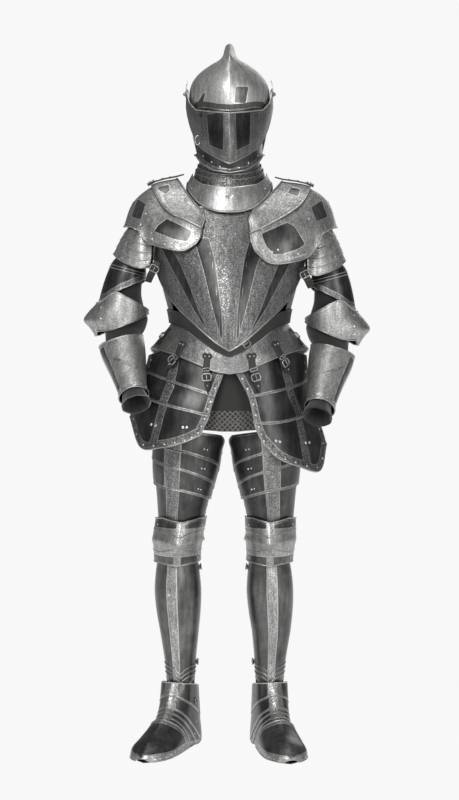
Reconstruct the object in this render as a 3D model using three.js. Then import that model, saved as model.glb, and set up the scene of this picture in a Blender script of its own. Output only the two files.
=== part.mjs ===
// A standing field armour: close helmet, gorget, peascod cuirass, pauldrons, arms, tassets, legs, sabatons.
// Millimetres, +Z up, the armour faces -Y, its own left side is +X ("_L"), its right side -X ("_R").
// Every plate is a thin closed shell raised from one of two kinds of surface:
//   a "form", a stack of superellipse sections down an axis, addressed by (angle, station);
//   a "net", a grid of points joined by smooth curves, addressed by (column, row).
import * as THREE from 'three';

// ---- driving dimensions -------------------------------------------------------------------------
const WALL = 2.0;             // plate thickness
const STRAP_WALL = 2.6;       // leather straps
const CLOTH_WALL = 1.6;       // sleeve lining and brayette
const SOLE_WALL = 4.0;        // leather soles the armour stands on
const SHINGLE = 3.0;          // how far each overlapping plate stands off the next
const PIVOT = [0, -5, 1628];  // visor axis, runs along X
const FOOT_TURN = { R: 22, L: 12 };   // degrees each foot is turned out
const ANKLE = { R: [-123, 6], L: [101, 6] };
const CENTRE = [6.5, 45.81];        // moves the finished suit so its bounding box is centred in plan

// ---- interpolation ------------------------------------------------------------------------------
// Smooth curve through a table whose first column is the key.
function curve(rows) {
  const n = rows.length;
  const up = rows[n - 1][0] > rows[0][0];
  const k = up ? rows : [...rows].reverse();
  const slope = (i, c) => {
    if (i === 0) return (k[1][c] - k[0][c]) / (k[1][0] - k[0][0]);
    if (i === n - 1) return (k[n - 1][c] - k[n - 2][c]) / (k[n - 1][0] - k[n - 2][0]);
    return (k[i + 1][c] - k[i - 1][c]) / (k[i + 1][0] - k[i - 1][0]);
  };
  return (s) => {
    const q = Math.min(Math.max(s, k[0][0]), k[n - 1][0]);
    let i = 0;
    while (i < n - 2 && q > k[i + 1][0]) i++;
    const h = k[i + 1][0] - k[i][0];
    const t = (q - k[i][0]) / h;
    const a = 2 * t ** 3 - 3 * t ** 2 + 1, b = t ** 3 - 2 * t ** 2 + t;
    const c = 3 * t ** 2 - 2 * t ** 3, d = t ** 3 - t ** 2;
    return k[i].map((v, j) => a * v + b * h * slope(i, j) + c * k[i + 1][j] + d * h * slope(i + 1, j));
  };
}
const line = (rows) => (x) => {       // straight segments through [x, y] pairs
  if (x <= rows[0][0]) return rows[0][1];
  for (let i = 1; i < rows.length; i++) {
    const [x0, y0] = rows[i - 1], [x1, y1] = rows[i];
    if (x <= x1) return y0 + (y1 - y0) * (x - x0) / (x1 - x0);
  }
  return rows[rows.length - 1][1];
};
const even = (rows) => line([...rows.slice(1).reverse().map(([x, y]) => [-x, y]), ...rows]);
// a hanging edge: lowest (or highest) at the front, z1 at the sides, z2 at the back
const dip = (z0, z1, z2 = z1) => (c) => {
  const k = 1 - Math.cos(c * Math.PI / 180);
  return k <= 1 ? z0 + (z1 - z0) * k : z1 + (z2 - z1) * (k - 1);
};
const steps = (a, b, n) => Array.from({ length: n + 1 }, (_, i) => a + (b - a) * i / n);

// ---- surfaces -----------------------------------------------------------------------------------
const DEG = Math.PI / 180;
const sub = (p, q) => [p[0] - q[0], p[1] - q[1], p[2] - q[2]];
const cross = (p, q) => [p[1] * q[2] - p[2] * q[1], p[2] * q[0] - p[0] * q[2], p[0] * q[1] - p[1] * q[0]];
const dot = (p, q) => p[0] * q[0] + p[1] * q[1] + p[2] * q[2];
const unit = (p) => { const l = Math.hypot(...p) || 1; return p.map((v) => v / l); };
const along = (p, v, d) => [p[0] + v[0] * d, p[1] + v[1] * d, p[2] + v[2] * d];

// Angle 0 faces the front, +90 the suit's left (+X). names: the columns of the table after the key.
// x y z centre; a half width (l, r differ); f, b depth to front and back; n exponent; kf, kb medial
// ridges; t lean of the section about X, r roll about Y, in degrees.
function form(names, rows, ridge = 40) {
  const cols = names.split(' ');
  const at = curve(rows);
  const get = (s) => {
    const v = at(s), o = { x: 0, y: 0, z: s, n: 2, kf: 0, kb: 0, tilt: 0, roll: 0 };
    cols.forEach((c, i) => { o[c] = v[i]; });
    o.l = o.l ?? o.a; o.r = o.r ?? o.a;
    return o;
  };
  const frame = (o) => {
    const t = o.tilt * DEG, r = o.roll * DEG, cr = Math.cos(r), sr = Math.sin(r);
    const spin = ([x, y, z]) => [x * cr + z * sr, y, z * cr - x * sr];
    return { u: spin([1, 0, 0]), w: spin([0, -Math.cos(t), Math.sin(t)]) };
  };
  const point = (c, s) => {
    const o = get(s), { u, w } = frame(o);
    const ang = ((c + 180) % 360 + 360) % 360 - 180;
    const si = Math.sin(ang * DEG), co = Math.cos(ang * DEG), e = 2 / o.n;
    const S = Math.sign(si) * Math.abs(si) ** e, C = Math.sign(co) * Math.abs(co) ** e;
    const side = (si < 0 ? o.l : o.r) * S;
    let deep = (co > 0 ? o.f : o.b) * C;
    deep += o.kf * Math.max(0, 1 - Math.abs(ang) / ridge) ** 1.5;
    deep -= o.kb * Math.max(0, 1 - (180 - Math.abs(ang)) / ridge) ** 1.5;
    return [o.x + u[0] * side + w[0] * deep, o.y + u[1] * side + w[1] * deep, o.z + u[2] * side + w[2] * deep];
  };
  const middle = (s) => { const o = get(s); return [o.x, o.y, o.z]; };
  const normal = (c, s) => {
    const e = 0.6, h = 2;
    const dc = sub(point(c + h, s), point(c - h, s)), ds = sub(point(c, s + e), point(c, s - e));
    let v = cross(dc, ds);
    const out = sub(point(c, s), middle(s));
    if (Math.hypot(...v) < 1e-4) return Math.hypot(...out) < 1e-6 ? [0, 0, 1] : unit(out);
    v = unit(v);
    return dot(v, out) < 0 ? v.map((q) => -q) : v;
  };
  return { point, normal };
}

// A grid of points; columns run across, rows run down. out: a point the plate faces away from.
function net(grid, out) {
  const rowCurves = grid.map((row) => curve(row.map((p, i) => [i, ...p])));
  const point = (c, s) => {
    const across = rowCurves.map((f, i) => [i, ...f(c).slice(1)]);
    return curve(across)(s).slice(1);
  };
  const normal = (c, s) => {
    const w = grid[0].length - 1, h = grid.length - 1, e = 0.03;
    const c0 = Math.max(0, c - e), c1 = Math.min(w, c + e), s0 = Math.max(0, s - e), s1 = Math.min(h, s + e);
    const v = unit(cross(sub(point(c1, s), point(c0, s)), sub(point(c, s1), point(c, s0))));
    return dot(v, sub(point(c, s), out)) < 0 ? v.map((q) => -q) : v;
  };
  return { point, normal };
}
// The same surface carried over to the suit's left side by a point map.
function mirrored(surface, map) {
  const point = (c, s) => map(surface.point(c, s));
  const normal = (c, s) => {
    const p = surface.point(c, s), n = surface.normal(c, s), m = map(p);
    return unit(sub(map(along(p, n, 1)), m));
  };
  return { point, normal };
}

// ---- shells -------------------------------------------------------------------------------------
const suit = new THREE.Group();
const STEEL = { color: 0x8f9296, roughness: 0.34, metalness: 1.0 };
const LEATHER = { color: 0x17120f, roughness: 0.62, metalness: 0.0 };
const CLOTH = { color: 0x1b1a1c, roughness: 0.92, metalness: 0.0 };

function addBody(name, points, faces, look) {
  // faces index points; drop slivers, turn the shell right side out
  const merged = [], index = new Map(), remap = points.map((p) => {
    const key = p.map((v) => Math.round(v * 1000)).join(',');
    if (!index.has(key)) { index.set(key, merged.length); merged.push(p); }
    return index.get(key);
  });
  const tris = faces.map((f) => f.map((i) => remap[i])).filter(([a, b, c]) => a !== b && b !== c && c !== a);
  let volume = 0;
  for (const [a, b, c] of tris) volume += dot(merged[a], cross(merged[b], merged[c]));
  const geometry = new THREE.BufferGeometry();
  geometry.setAttribute('position', new THREE.Float32BufferAttribute(merged.flat(), 3));
  geometry.setIndex(tris.flatMap(([a, b, c]) => (volume < 0 ? [a, c, b] : [a, b, c])));
  geometry.computeVertexNormals();
  const mesh = new THREE.Mesh(geometry, new THREE.MeshStandardMaterial(look));
  mesh.name = name;
  suit.add(mesh);
  return mesh;
}

// cols: list of column values; from, to: station of the first and last row as functions of the column;
// rows: how far down each row is, 0..1; lift: inner face above the surface, number or (t, c) function;
// outRows, outLift: the outer face's own rows, for shells stepped like overlapping lames.
function plate(name, surface, o, look = STEEL) {
  const wall = o.wall ?? WALL, lift = o.lift ?? 0;
  const liftAt = (f, i, t, c) => (typeof f === 'function' ? f(t, c) : Array.isArray(f) ? f[i] : f);
  const face = (rows, f, extra) => rows.map((t, i) => o.cols.map((c) => {
    const s = o.from(c) + (o.to(c) - o.from(c)) * t;
    const cc = o.skew ? o.skew(c, s) : c;
    return along(surface.point(cc, s), surface.normal(cc, s), liftAt(f, i, t, c) + extra);
  }));
  const inner = face(o.rows, lift, 0);
  const outer = face(o.outRows ?? o.rows, o.outLift ?? lift, wall);
  const R = o.rows.length, C = o.cols.length, last = o.ring ? C : C - 1;
  const points = [...inner.flat(), ...outer.flat()], faces = [], off = R * C;
  const quad = (a, b, c, d) => faces.push([a, b, c], [a, c, d]);
  const id = (r, c) => r * C + (c % C);
  for (let r = 0; r < R - 1; r++) for (let c = 0; c < last; c++) {
    quad(id(r, c), id(r, c + 1), id(r + 1, c + 1), id(r + 1, c));
    quad(off + id(r, c), off + id(r + 1, c), off + id(r + 1, c + 1), off + id(r, c + 1));
  }
  for (let c = 0; c < last; c++) {
    quad(id(0, c), off + id(0, c), off + id(0, c + 1), id(0, c + 1));
    quad(id(R - 1, c), id(R - 1, c + 1), off + id(R - 1, c + 1), off + id(R - 1, c));
  }
  if (!o.ring) for (let r = 0; r < R - 1; r++) {
    quad(id(r, 0), id(r + 1, 0), off + id(r + 1, 0), off + id(r, 0));
    quad(id(r, C - 1), off + id(r, C - 1), off + id(r + 1, C - 1), id(r + 1, C - 1));
  }
  return addBody(name, points, faces, look);
}

// Rows and lifts for lames stepped one over the next: cuts are the lower edges, 0..1.
function lames(cuts, rise, offset = 0, shift = 0.05) {
  const rows = [0], lift = [offset], outRows = [0], outLift = [offset];
  cuts.slice(0, -1).forEach((t) => {
    outRows.push(t, t); outLift.push(offset + rise, offset);
    rows.push(t - shift, t - shift); lift.push(offset + rise, offset);
  });
  outRows.push(1); outLift.push(offset + rise); rows.push(1); lift.push(offset + rise);
  return { rows, lift, outRows, outLift };
}

// A flat strap laid along a path: each stop is [point, outward direction, half width].
function strap(name, stops, wall = STRAP_WALL, look = LEATHER) {
  const points = [], faces = [], n = stops.length;
  stops.forEach(([p, out, half], i) => {
    const next = stops[Math.min(i + 1, n - 1)][0], back = stops[Math.max(i - 1, 0)][0];
    const o = unit(out), dir = unit(sub(next, back)), side = unit(cross(dir, o));
    for (const [w, h] of [[-half, 0], [half, 0], [half, wall], [-half, wall]]) {
      points.push(along(along(p, side, w), o, h));
    }
  });
  for (let i = 0; i < n - 1; i++) for (let j = 0; j < 4; j++) {
    const a = 4 * i + j, b = 4 * i + (j + 1) % 4;
    faces.push([a, b, b + 4], [a, b + 4, a + 4]);
  }
  faces.push([0, 2, 1], [0, 3, 2]);
  const e = 4 * (n - 1);
  faces.push([e, e + 1, e + 2], [e, e + 2, e + 3]);
  return addBody(name, points, faces, look);
}
const across = (surface, c, s, lift) => along(surface.point(c, s), surface.normal(c, s), lift);

// ---- helmet -------------------------------------------------------------------------------------
const SKULL = form('z a f b n kf kb', [
  [1753.4, 0, 0, 0, 1.5, 0, 0],
  [1749, 8, 24, 28, 1.5, 0, 0],
  [1738, 12.5, 58, 66, 1.4, 0, 0],
  [1722, 17, 84, 95, 1.35, 0, 0],
  [1710, 28, 96, 108, 1.45, 0, 0],
  [1700, 46, 103, 115, 1.6, 0, 0],
  [1683, 70, 108, 120, 1.8, 2, 2],
  [1667, 85.5, 111, 122, 1.9, 5, 4],
  [1649, 95.3, 115, 124, 2, 6, 5],
  [1629, 99.6, 118, 124, 2, 6, 5],
  [1603, 100, 118, 122, 2, 6, 4],
  [1578, 98, 116, 117, 2, 5, 4],
  [1540, 92, 112, 108, 2, 3, 3],
  [1500, 86, 104, 100, 2, 0, 2],
  [1475, 88, 104, 104, 2, 0, 0],
], 24);
const RING = steps(-180, 160, 17);
plate('helmet_skull', SKULL, {
  ring: true, cols: RING, lift: -WALL,
  from: () => 1753.4,
  to: even([[0, 1579], [18, 1582], [36, 1588], [54, 1590], [72, 1565], [90, 1520], [108, 1490], [126, 1476],
    [180, 1466]]),
  rows: [0, 0.03, 0.1, 0.19, 0.3, 0.44, 0.62, 0.82, 1],
});

const FACE = form('z a f b n kf', [
  [1650, 106, 122, 100, 2, 0],
  [1628, 107.5, 126, 100, 2, 2],
  [1603, 108, 130, 100, 2, 6],
  [1585, 106, 134, 100, 2, 8],
  [1560, 101.5, 141, 100, 1.95, 9],
  [1540, 97, 147, 100, 1.9, 10],
  [1514, 90.5, 151, 100, 1.9, 10],
  [1496, 85, 151, 100, 1.9, 9],
  [1470, 78, 148, 100, 1.9, 8],
  [1445, 72, 142, 100, 1.9, 6],
], 30);
const FACE_COLS = [-104, -92, -80, -65, -48, -31, -15, 0, 15, 31, 48, 65, 80, 92, 104];
plate('helmet_visor', FACE, {
  cols: FACE_COLS, lift: -WALL,
  from: even([[0, 1572], [24, 1577], [52, 1585], [66, 1603], [80, 1634], [92, 1642], [104, 1638]]),
  to: even([[0, 1450], [12, 1456], [24, 1464], [38, 1475], [52, 1487], [66, 1504], [80, 1545], [92, 1596],
    [104, 1618]]),
  rows: [0, 0.2, 0.45, 0.7, 0.86, 1],
});

const CHIN = form('z a f b n kf', [
  [1560, 90, 122, 100, 2, 4],
  [1520, 84, 134, 96, 2, 5],
  [1490, 81, 137, 94, 2, 4],
  [1465, 80.5, 132, 94, 2, 2],
  [1445, 82, 126, 94, 2, 0],
  [1425, 84, 122, 94, 2, 0],
], 30);
plate('helmet_bevor', CHIN, {
  cols: steps(-108, 108, 12),
  from: even([[0, 1530], [54, 1535], [81, 1545], [108, 1545]]),
  to: even([[0, 1431], [27, 1438], [54, 1458], [70, 1474], [81, 1478], [108, 1480]]),
  rows: [0, 0.4, 0.75, 0.93, 1], lift: [-WALL, -WALL, -WALL, -1, 4],
});

// ---- gorget -------------------------------------------------------------------------------------
const NECK = form('z a f b', [
  [1485, 69, 88, 80],
  [1470, 71.5, 91, 84],
  [1450, 75, 96, 89],
  [1430, 79, 101, 94],
  [1405, 86, 107, 100],
  [1382, 93, 112, 106],
]);
const COLLAR = steps(-180, 150, 11);
[[1450, 1474, 1470, 1419, 1452, 1446], [1426, 1457, 1452, 1406, 1440, 1434], [1413, 1445, 1440, 1384, 1424, 1414],
].forEach(([t0, t1, t2, l0, l1, l2], i) => plate(`gorget_lame_${i + 1}`, NECK, {
  ring: true, cols: COLLAR, from: dip(t0, t1, t2), to: dip(l0, l1, l2), rows: [0, 1], lift: i * SHINGLE,
}));

const YOKE = form('z a f b n', [
  [1436, 88, 114, 108, 2],
  [1415, 99, 121, 116, 2],
  [1393, 111, 128, 124, 2],
  [1367, 124, 136, 130, 2],
  [1330, 140, 145, 134, 2],
]);
plate('gorget_front', YOKE, {
  cols: steps(-84, 84, 12), lift: 0.5,
  from: even([[0, 1394], [36, 1402], [60, 1419], [84, 1432]]),
  to: even([[0, 1334], [12, 1336], [24, 1344], [36, 1358], [48, 1374], [60, 1389], [72, 1402], [84, 1409]]),
  rows: [0, 0.4, 0.8, 1],
});
plate('gorget_back', YOKE, {
  cols: steps(96, 264, 12), lift: 0.5,
  from: line([[96, 1430], [110, 1424], [180, 1418], [250, 1424], [264, 1430]]),
  to: line([[96, 1408], [124, 1378], [152, 1346], [180, 1338], [208, 1346], [236, 1378], [264, 1408]]),
  rows: [0, 0.5, 1],
});

// ---- cuirass ------------------------------------------------------------------------------------
const TORSO = form('z a f b n kf', [
  [1400, 132, 92, 96, 2.2, 0],
  [1370, 158, 106, 110, 2.3, 0],
  [1340, 174, 119, 121, 2.3, 1],
  [1300, 182, 134, 129, 2.3, 2],
  [1250, 183, 152, 130, 2.25, 4],
  [1200, 176, 170, 122, 2.2, 6],
  [1150, 166, 184, 109, 2.1, 7],
  [1100, 153, 193, 95, 2.05, 8],
  [1065, 147, 196, 88, 2, 9],
  [1030, 148, 195, 88, 2, 9],
  [1000, 156, 190, 94, 2, 8],
  [975, 164, 186, 100, 2, 6],
], 36);
const CHEST = [-84, -78, -65, -52, -39, -26, -13, 0, 13, 26, 39, 52, 65, 78, 84];
plate('breastplate', TORSO, {
  cols: CHEST, lift: 6.3,
  from: even([[0, 1346], [26, 1343], [39, 1331], [52, 1318], [65, 1278], [78, 1238], [84, 1226]]),
  to: even([[0, 1002], [12, 1022], [24, 1046], [36, 1072], [48, 1098], [60, 1128], [72, 1166], [84, 1208]]),
  rows: [0, 0.14, 0.3, 0.46, 0.62, 0.8, 1],
});
const BACK = [65, 78, 84, 104, 130, 155, 180, 205, 230, 256, 276, 282, 295];
plate('backplate', TORSO, {
  cols: BACK, lift: -1.4,
  from: line([[65, 1196], [84, 1240], [100, 1266], [120, 1292], [140, 1306], [160, 1316], [180, 1320], [200, 1316],
    [220, 1306], [240, 1292], [260, 1266], [276, 1240], [295, 1196]]),
  to: line([[65, 1084], [84, 1086], [180, 1076], [276, 1086], [295, 1084]]),
  rows: [0, 0.25, 0.5, 0.75, 1],
});
plate('waist_belt', TORSO, {
  ring: true, cols: [...CHEST, ...BACK.slice(3, 10)], lift: 2, wall: 2.4,
  from: (c) => line([[0, 1008], [13, 1029], [26, 1054], [39, 1077], [52, 1093], [65, 1097], [84, 1098], [180, 1096]])(
    Math.abs(c > 180 ? c - 360 : c)),
  to: (c) => line([[0, 986], [13, 1001], [26, 1023], [39, 1044], [52, 1057], [65, 1062], [84, 1064], [180, 1062]])(
    Math.abs(c > 180 ? c - 360 : c)),
  rows: [0, 1],
}, LEATHER);

// ---- fauld, culet, brayette ---------------------------------------------------------------------
const HIPS = form('z a f b n', [
  [1080, 140, 182, 80, 2],
  [1060, 147, 186, 86, 2],
  [1040, 162, 188, 97, 2],
  [1015, 184, 190, 110, 2],
  [990, 203, 195, 120, 2],
  [960, 213, 198, 129, 2],
  [935, 217, 201, 134, 2],
]);
const FAULD = [-86, -72, -58, -45, -32, -21, -10, 0, 10, 21, 32, 45, 58, 72, 86];
plate('fauld', HIPS, {
  cols: FAULD, lift: -WALL,
  from: even([[0, 994], [10, 1003], [21, 1020], [32, 1037], [45, 1053], [58, 1062], [86, 1066]]),
  to: even([[0, 946], [10, 952], [21, 968], [32, 982], [45, 993], [58, 999], [86, 1004]]),
  rows: [0, 0.35, 0.7, 1],
});
plate('culet', HIPS, {
  cols: steps(94, 266, 10), lift: -2.4,
  from: () => 1066,
  to: line([[94, 1000], [120, 980], [180, 966], [240, 980], [266, 1000]]),
  rows: [0, 0.33, 0.66, 1],
});
const LOIN = net([
  [[-44, -150, 975], [-22, -164, 972], [0, -168, 970], [22, -164, 972], [44, -150, 975]],
  [[-56, -146, 890], [-28, -160, 890], [0, -165, 890], [28, -160, 890], [56, -146, 890]],
  [[-66, -138, 806], [-34, -152, 804], [0, -158, 803], [34, -152, 804], [66, -138, 806]],
], [0, 0, 880]);
plate('brayette', LOIN, {
  cols: [0, 0.6, 1.3, 2, 2.7, 3.4, 4], from: () => 0, to: () => 2, rows: [0, 0.33, 0.67, 1], wall: CLOTH_WALL,
}, CLOTH);

// ---- tassets: each row of the net is one lame line, outer edge to inner edge ---------------------
const TASSET = {
  R: net([
    [[-199, -45, 984], [-152, -108, 1001], [-103, -152, 994], [-50, -176, 972], [-8, -184, 956]],
    [[-206, -56, 944], [-170, -120, 931], [-116, -164, 915], [-70, -181, 900], [-34, -186, 889]],
    [[-228, -60, 890], [-188, -128, 876], [-136, -170, 862], [-88, -184, 851], [-50, -187, 842]],
    [[-245, -52, 832], [-216, -122, 763], [-164, -168, 766], [-115, -183, 778], [-71, -187, 797]],
  ], [-110, 40, 870]),
  L: net([
    [[190, -36, 984], [148, -108, 999], [103, -152, 990], [50, -176, 970], [11, -184, 954]],
    [[193, -30, 926], [167, -104, 912], [124, -158, 902], [80, -180, 893], [45, -186, 887]],
    [[214, -22, 848], [190, -86, 838], [148, -150, 829], [102, -180, 823], [60, -187, 825]],
    [[239, -50, 764], [220, -112, 704], [166, -162, 720], [117, -182, 742], [78, -187, 782]],
  ], [110, 40, 870]),
};
const FLAP = [0, 0.4, 1, 1.6, 2.3, 3.1, 4];
for (const side of ['R', 'L']) {
  for (let i = 0; i < 3; i++) {
    plate(`tasset_${side}_${i + 1}`, TASSET[side], {
      cols: FLAP, from: () => Math.max(0, i - 0.14), to: () => i + 1, rows: i === 2 ? [0, 0.5, 0.8, 1] : [0, 0.5, 1],
      lift: (t) => (i < 2 ? (SHINGLE + 1) * t : 0) - 0.4,
    });
  }
}
// straps that hang the tassets from the fauld: column on the fauld, station, then column and row below
for (const [name, side, ang, top, col, row, half] of [
  ['tasset_strap_R_1', 'R', -38, 1012, 1.42, 0.52, 8],
  ['tasset_strap_R_2', 'R', -15, 985, 3.35, 0.75, 8],
  ['tasset_strap_L_1', 'L', 15, 985, 3.15, 0.75, 8],
  ['tasset_strap_L_2', 'L', 37, 1012, 1.55, 0.52, 8],
]) {
  const flap = TASSET[side];
  const n0 = HIPS.normal(ang, top), n1 = HIPS.normal(ang, top - 24), n3 = flap.normal(col, row);
  const low = across(flap, col, row, 10), high = across(HIPS, ang, top, 1.5);
  const mid = across(HIPS, ang, top - 24, 2.5);
  const knee = along(mid, unit(sub(low, mid)), Math.hypot(...sub(low, mid)) * 0.5);
  strap(name, [[high, n0, half], [mid, n1, half], [along(knee, n1, 1.5), n3, half], [low, n3, half * 0.8]]);
}

// ---- arms, drawn for the right arm and carried over to the left ----------------------------------
const dropL = line([[840, -31], [900, -29], [1070, -22], [1200, -18], [1240, -16], [1300, -5], [1430, -6]]);
const inL = line([[850, -13], [1100, -13], [1180, -5], [1240, 1], [1310, 4], [1430, 0]]);
const toLeft = (p) => [-p[0] + inL(p[2]), p[1], p[2] + dropL(p[2])];
const both = (surface) => ({ R: surface, L: mirrored(surface, toLeft) });

// the left pauldron hangs a little lower and further over the chest, as it does on the suit
const SHOULDER = {
  R: net([
    [[-59, -136, 1314], [-68, -126, 1336], [-89, -100, 1361], [-107, -68, 1385], [-119, -38, 1404],
      [-130, 0, 1418], [-119, 42, 1402], [-90, 92, 1360], [-62, 126, 1314]],
    [[-66, -148, 1294], [-100, -140, 1312], [-141, -114, 1331], [-166, -83, 1357], [-182, -48, 1385],
      [-190, 0, 1402], [-182, 48, 1384], [-141, 106, 1330], [-72, 134, 1294]],
    [[-70, -156, 1277], [-106, -151, 1278], [-152, -134, 1290], [-196, -106, 1312], [-224, -67, 1340],
      [-240, 0, 1361], [-224, 66, 1340], [-152, 124, 1290], [-78, 138, 1278]],
    [[-80, -161, 1260], [-112, -158, 1242], [-155, -143, 1248], [-201, -110, 1264], [-229, -87, 1297],
      [-263, 0, 1302], [-229, 84, 1297], [-155, 128, 1252], [-86, 140, 1262]],
  ], [-150, 0, 1270]),
  L: net([
    [[46, -140, 1314], [57, -130, 1337], [82, -104, 1360], [104, -69, 1382], [118, -38, 1397],
      [130, 0, 1411], [118, 42, 1396], [90, 92, 1356], [62, 126, 1310]],
    [[50, -152, 1284], [84, -145, 1299], [140, -118, 1330], [172, -86, 1354], [190, -50, 1380],
      [196, 0, 1398], [190, 48, 1380], [146, 106, 1328], [76, 134, 1290]],
    [[53, -160, 1262], [90, -157, 1262], [148, -140, 1276], [196, -110, 1300], [226, -71, 1332],
      [245, 0, 1363], [226, 66, 1336], [152, 124, 1288], [80, 138, 1274]],
    [[62, -166, 1240], [98, -164, 1212], [150, -149, 1214], [198, -116, 1232], [233, -89, 1287],
      [268, 0, 1300], [233, 84, 1290], [157, 128, 1246], [88, 140, 1256]],
  ], [150, 0, 1270]),
};
const CAP = [0, 0.7, 1.5, 2.3, 3.1, 4, 4.8, 5.6, 6.6, 8];
const LAMED = both(net([
  [[-190, -70, 1282], [-218, -72, 1288], [-241, -46, 1298], [-250, 0, 1305], [-241, 46, 1298], [-218, 72, 1288],
    [-190, 70, 1282]],
  [[-190, -76, 1240], [-222, -79, 1241], [-256, -52, 1258], [-271, 0, 1272], [-256, 52, 1258], [-222, 79, 1241],
    [-190, 74, 1240]],
  [[-194, -74, 1204], [-222, -79, 1200], [-267, -54, 1217], [-289, 0, 1235], [-267, 54, 1217], [-222, 79, 1200],
    [-194, 74, 1204]],
], [-225, 0, 1250]));
// arm sections: x y z along the limb, tilt forward, roll outward
const UPPER = both(form('s x y z a f b tilt roll', [
  [0, -236, 5, 1250, 29, 38, 32, 0, 15],
  [28, -244, 5, 1223, 34, 40, 32, 0, 15],
  [50, -250, 5, 1202, 44, 44, 39, 0, 15],
  [100, -263, 5, 1153, 51, 46, 45, 0, 15],
  [160, -278, 5, 1095, 52, 46, 46, 0, 15],
]));
const LOWER = both(form('s x y z a f b tilt roll', [
  [-20, -280, 11, 1054, 57, 50, 52, 42, -16],
  [20, -272, -15, 1026, 57, 50, 54, 42, -16],
  [70, -262, -49, 990, 55, 49, 54, 42, -16],
  [140, -247, -94, 941, 44, 41, 44, 42, -16],
  [195, -236, -131, 901, 36.5, 35, 36, 42, -16],
  [212, -232.5, -142, 889, 37.5, 36, 37, 42, -16],
]));
const ELBOW = both(form('z x y l r f b', [
  [1145, -266, 2, 52, 62, 62, 58],
  [1112, -266, 4, 66, 64, 68, 66],
  [1090, -268, 6, 84, 67, 72, 74],
  [1069, -268, 8, 96, 66, 74, 78],
  [1050, -267, 8, 82, 62, 72, 72],
  [1028, -266, 6, 68, 58, 66, 64],
]));
const SLEEVE = both(form('s x y z l r f b tilt roll', [
  [0, -251, 5, 1192, 36, 36, 35, 34, 0, 15],
  [50, -261, 5, 1142, 40, 42, 37, 36, 0, 12],
  [80, -263, 4, 1112, 43, 49, 43, 40, 8, 6],
  [110, -263, 2, 1082, 46, 56, 48, 44, 18, 0],
  [135, -264, -6, 1056, 45, 60, 48, 46, 30, -8],
  [165, -267, -24, 1027, 42, 48, 42, 44, 42, -16],
  [200, -262, -48, 1001, 38, 40, 38, 38, 42, -16],
  [310, -236.5, -126, 907, 27, 27, 27, 27, 42, -16],
  [332, -231.5, -142, 890, 29, 29, 29, 29, 42, -16],
  [360, -225.5, -162, 869, 37, 37, 34, 34, 42, -16],
]));
const TUBE = steps(-180, 144, 9);
for (const side of ['R', 'L']) {
  plate(`pauldron_upper_${side}`, SHOULDER[side], {
    cols: CAP, from: () => 0, to: () => 1.04, rows: [0, 0.5, 1], lift: (t) => 1.2 + 1.6 * t,
  });
  plate(`pauldron_${side}`, SHOULDER[side], {
    cols: CAP, from: () => 0.9, to: () => 3, rows: [0, 0.26, 0.52, 0.76, 1], lift: -WALL,
  });
  plate(`pauldron_lames_${side}`, LAMED[side], {
    cols: [0, 1, 2, 3, 4, 5, 6], from: () => 0, to: () => 2,
    ...lames([0.3, 0.53, 0.77, 1], 1.6, -3.6, 0.03),
  });
  plate(`rerebrace_${side}`, UPPER[side], {
    ring: true, cols: TUBE, lift: -WALL, from: () => 12,
    to: line([[-180, 118], [-135, 142], [-90, 150], [-45, 140], [0, 104], [30, 84], [60, 70], [90, 68], [135, 84],
      [180, 118]]),
    rows: [0, 0.4, 1],
  });
  plate(`couter_${side}`, ELBOW[side], {
    cols: [-200, -172, -144, -118, -96, -76, -56, -36, -17, 2, 24, 46, 68, 84], lift: -WALL,
    from: line([[-200, 1093], [-150, 1108], [-120, 1113], [-90, 1112], [-60, 1114], [-50, 1120], [-30, 1137],
      [-17, 1141], [0, 1135], [30, 1117], [55, 1104], [84, 1094]]),
    to: line([[-200, 1060], [-150, 1040], [-120, 1031], [-90, 1030], [-65, 1034], [-50, 1044], [-30, 1045],
      [-17, 1047], [0, 1055], [30, 1069], [55, 1079], [84, 1087]]),
    rows: [0, 0.28, 0.54, 0.78, 1],
  });
  plate(`vambrace_${side}`, LOWER[side], {
    ring: true, cols: TUBE, lift: -WALL,
    from: even([[0, 60], [30, 56], [60, 46], [90, 34], [120, 14], [150, -4], [180, -12]]), to: () => 212,
    rows: [0, 0.4, 0.93, 1],
  });
  plate(`sleeve_${side}`, SLEEVE[side], {
    ring: true, cols: TUBE, lift: -CLOTH_WALL, wall: CLOTH_WALL, from: () => 0, to: () => 360,
    rows: [0, 0.2, 0.3, 0.38, 0.46, 0.56, 0.9, 1],
  }, CLOTH);
  // strap over the shoulder from the gorget to the pauldron, and the strap that closes the armpit
  const cap = SHOULDER[side];
  strap(`shoulder_strap_${side}`, [
    [across(cap, 5, 1.16, 6), cap.normal(5, 1.1), 13],
    [across(cap, 5, 0.55, 7.5), cap.normal(5, 0.5), 13],
    [across(cap, 5, 0.02, 7), cap.normal(5, 0.05), 13],
    [((p) => [p[0] * 0.86, p[1], p[2] + 6])(across(cap, 5, 0, 6)), [0, 0, 1], 12],
  ]);
}

// straps at the hips and under the arms
for (const [side, x] of [['R', -1], ['L', 1]]) {
  const at = (ang, s, lift) => [across(HIPS, ang * x, s, lift), HIPS.normal(ang * x, s), 8];
  strap(`hip_strap_${side}`, [at(72, 1050, 1.2), at(72, 1036, 2.2), at(70, 1022, 2.6), at(68, 1010, 2.6)]);
  const drop = side === 'R' ? 0 : -14;
  strap(`armpit_strap_${side}`, [
    [[x * 176, -84, 1214 + drop], [0.1 * x, -1, 0.1], 9], [[x * 184, -87, 1198 + drop], [0, -1, 0], 9],
    [[x * 193, -82, 1182 + drop], [0, -1, -0.2], 9], [[x * 200, -68, 1166 + drop], [0, -1, -0.8], 8],
  ]);
}

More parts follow.
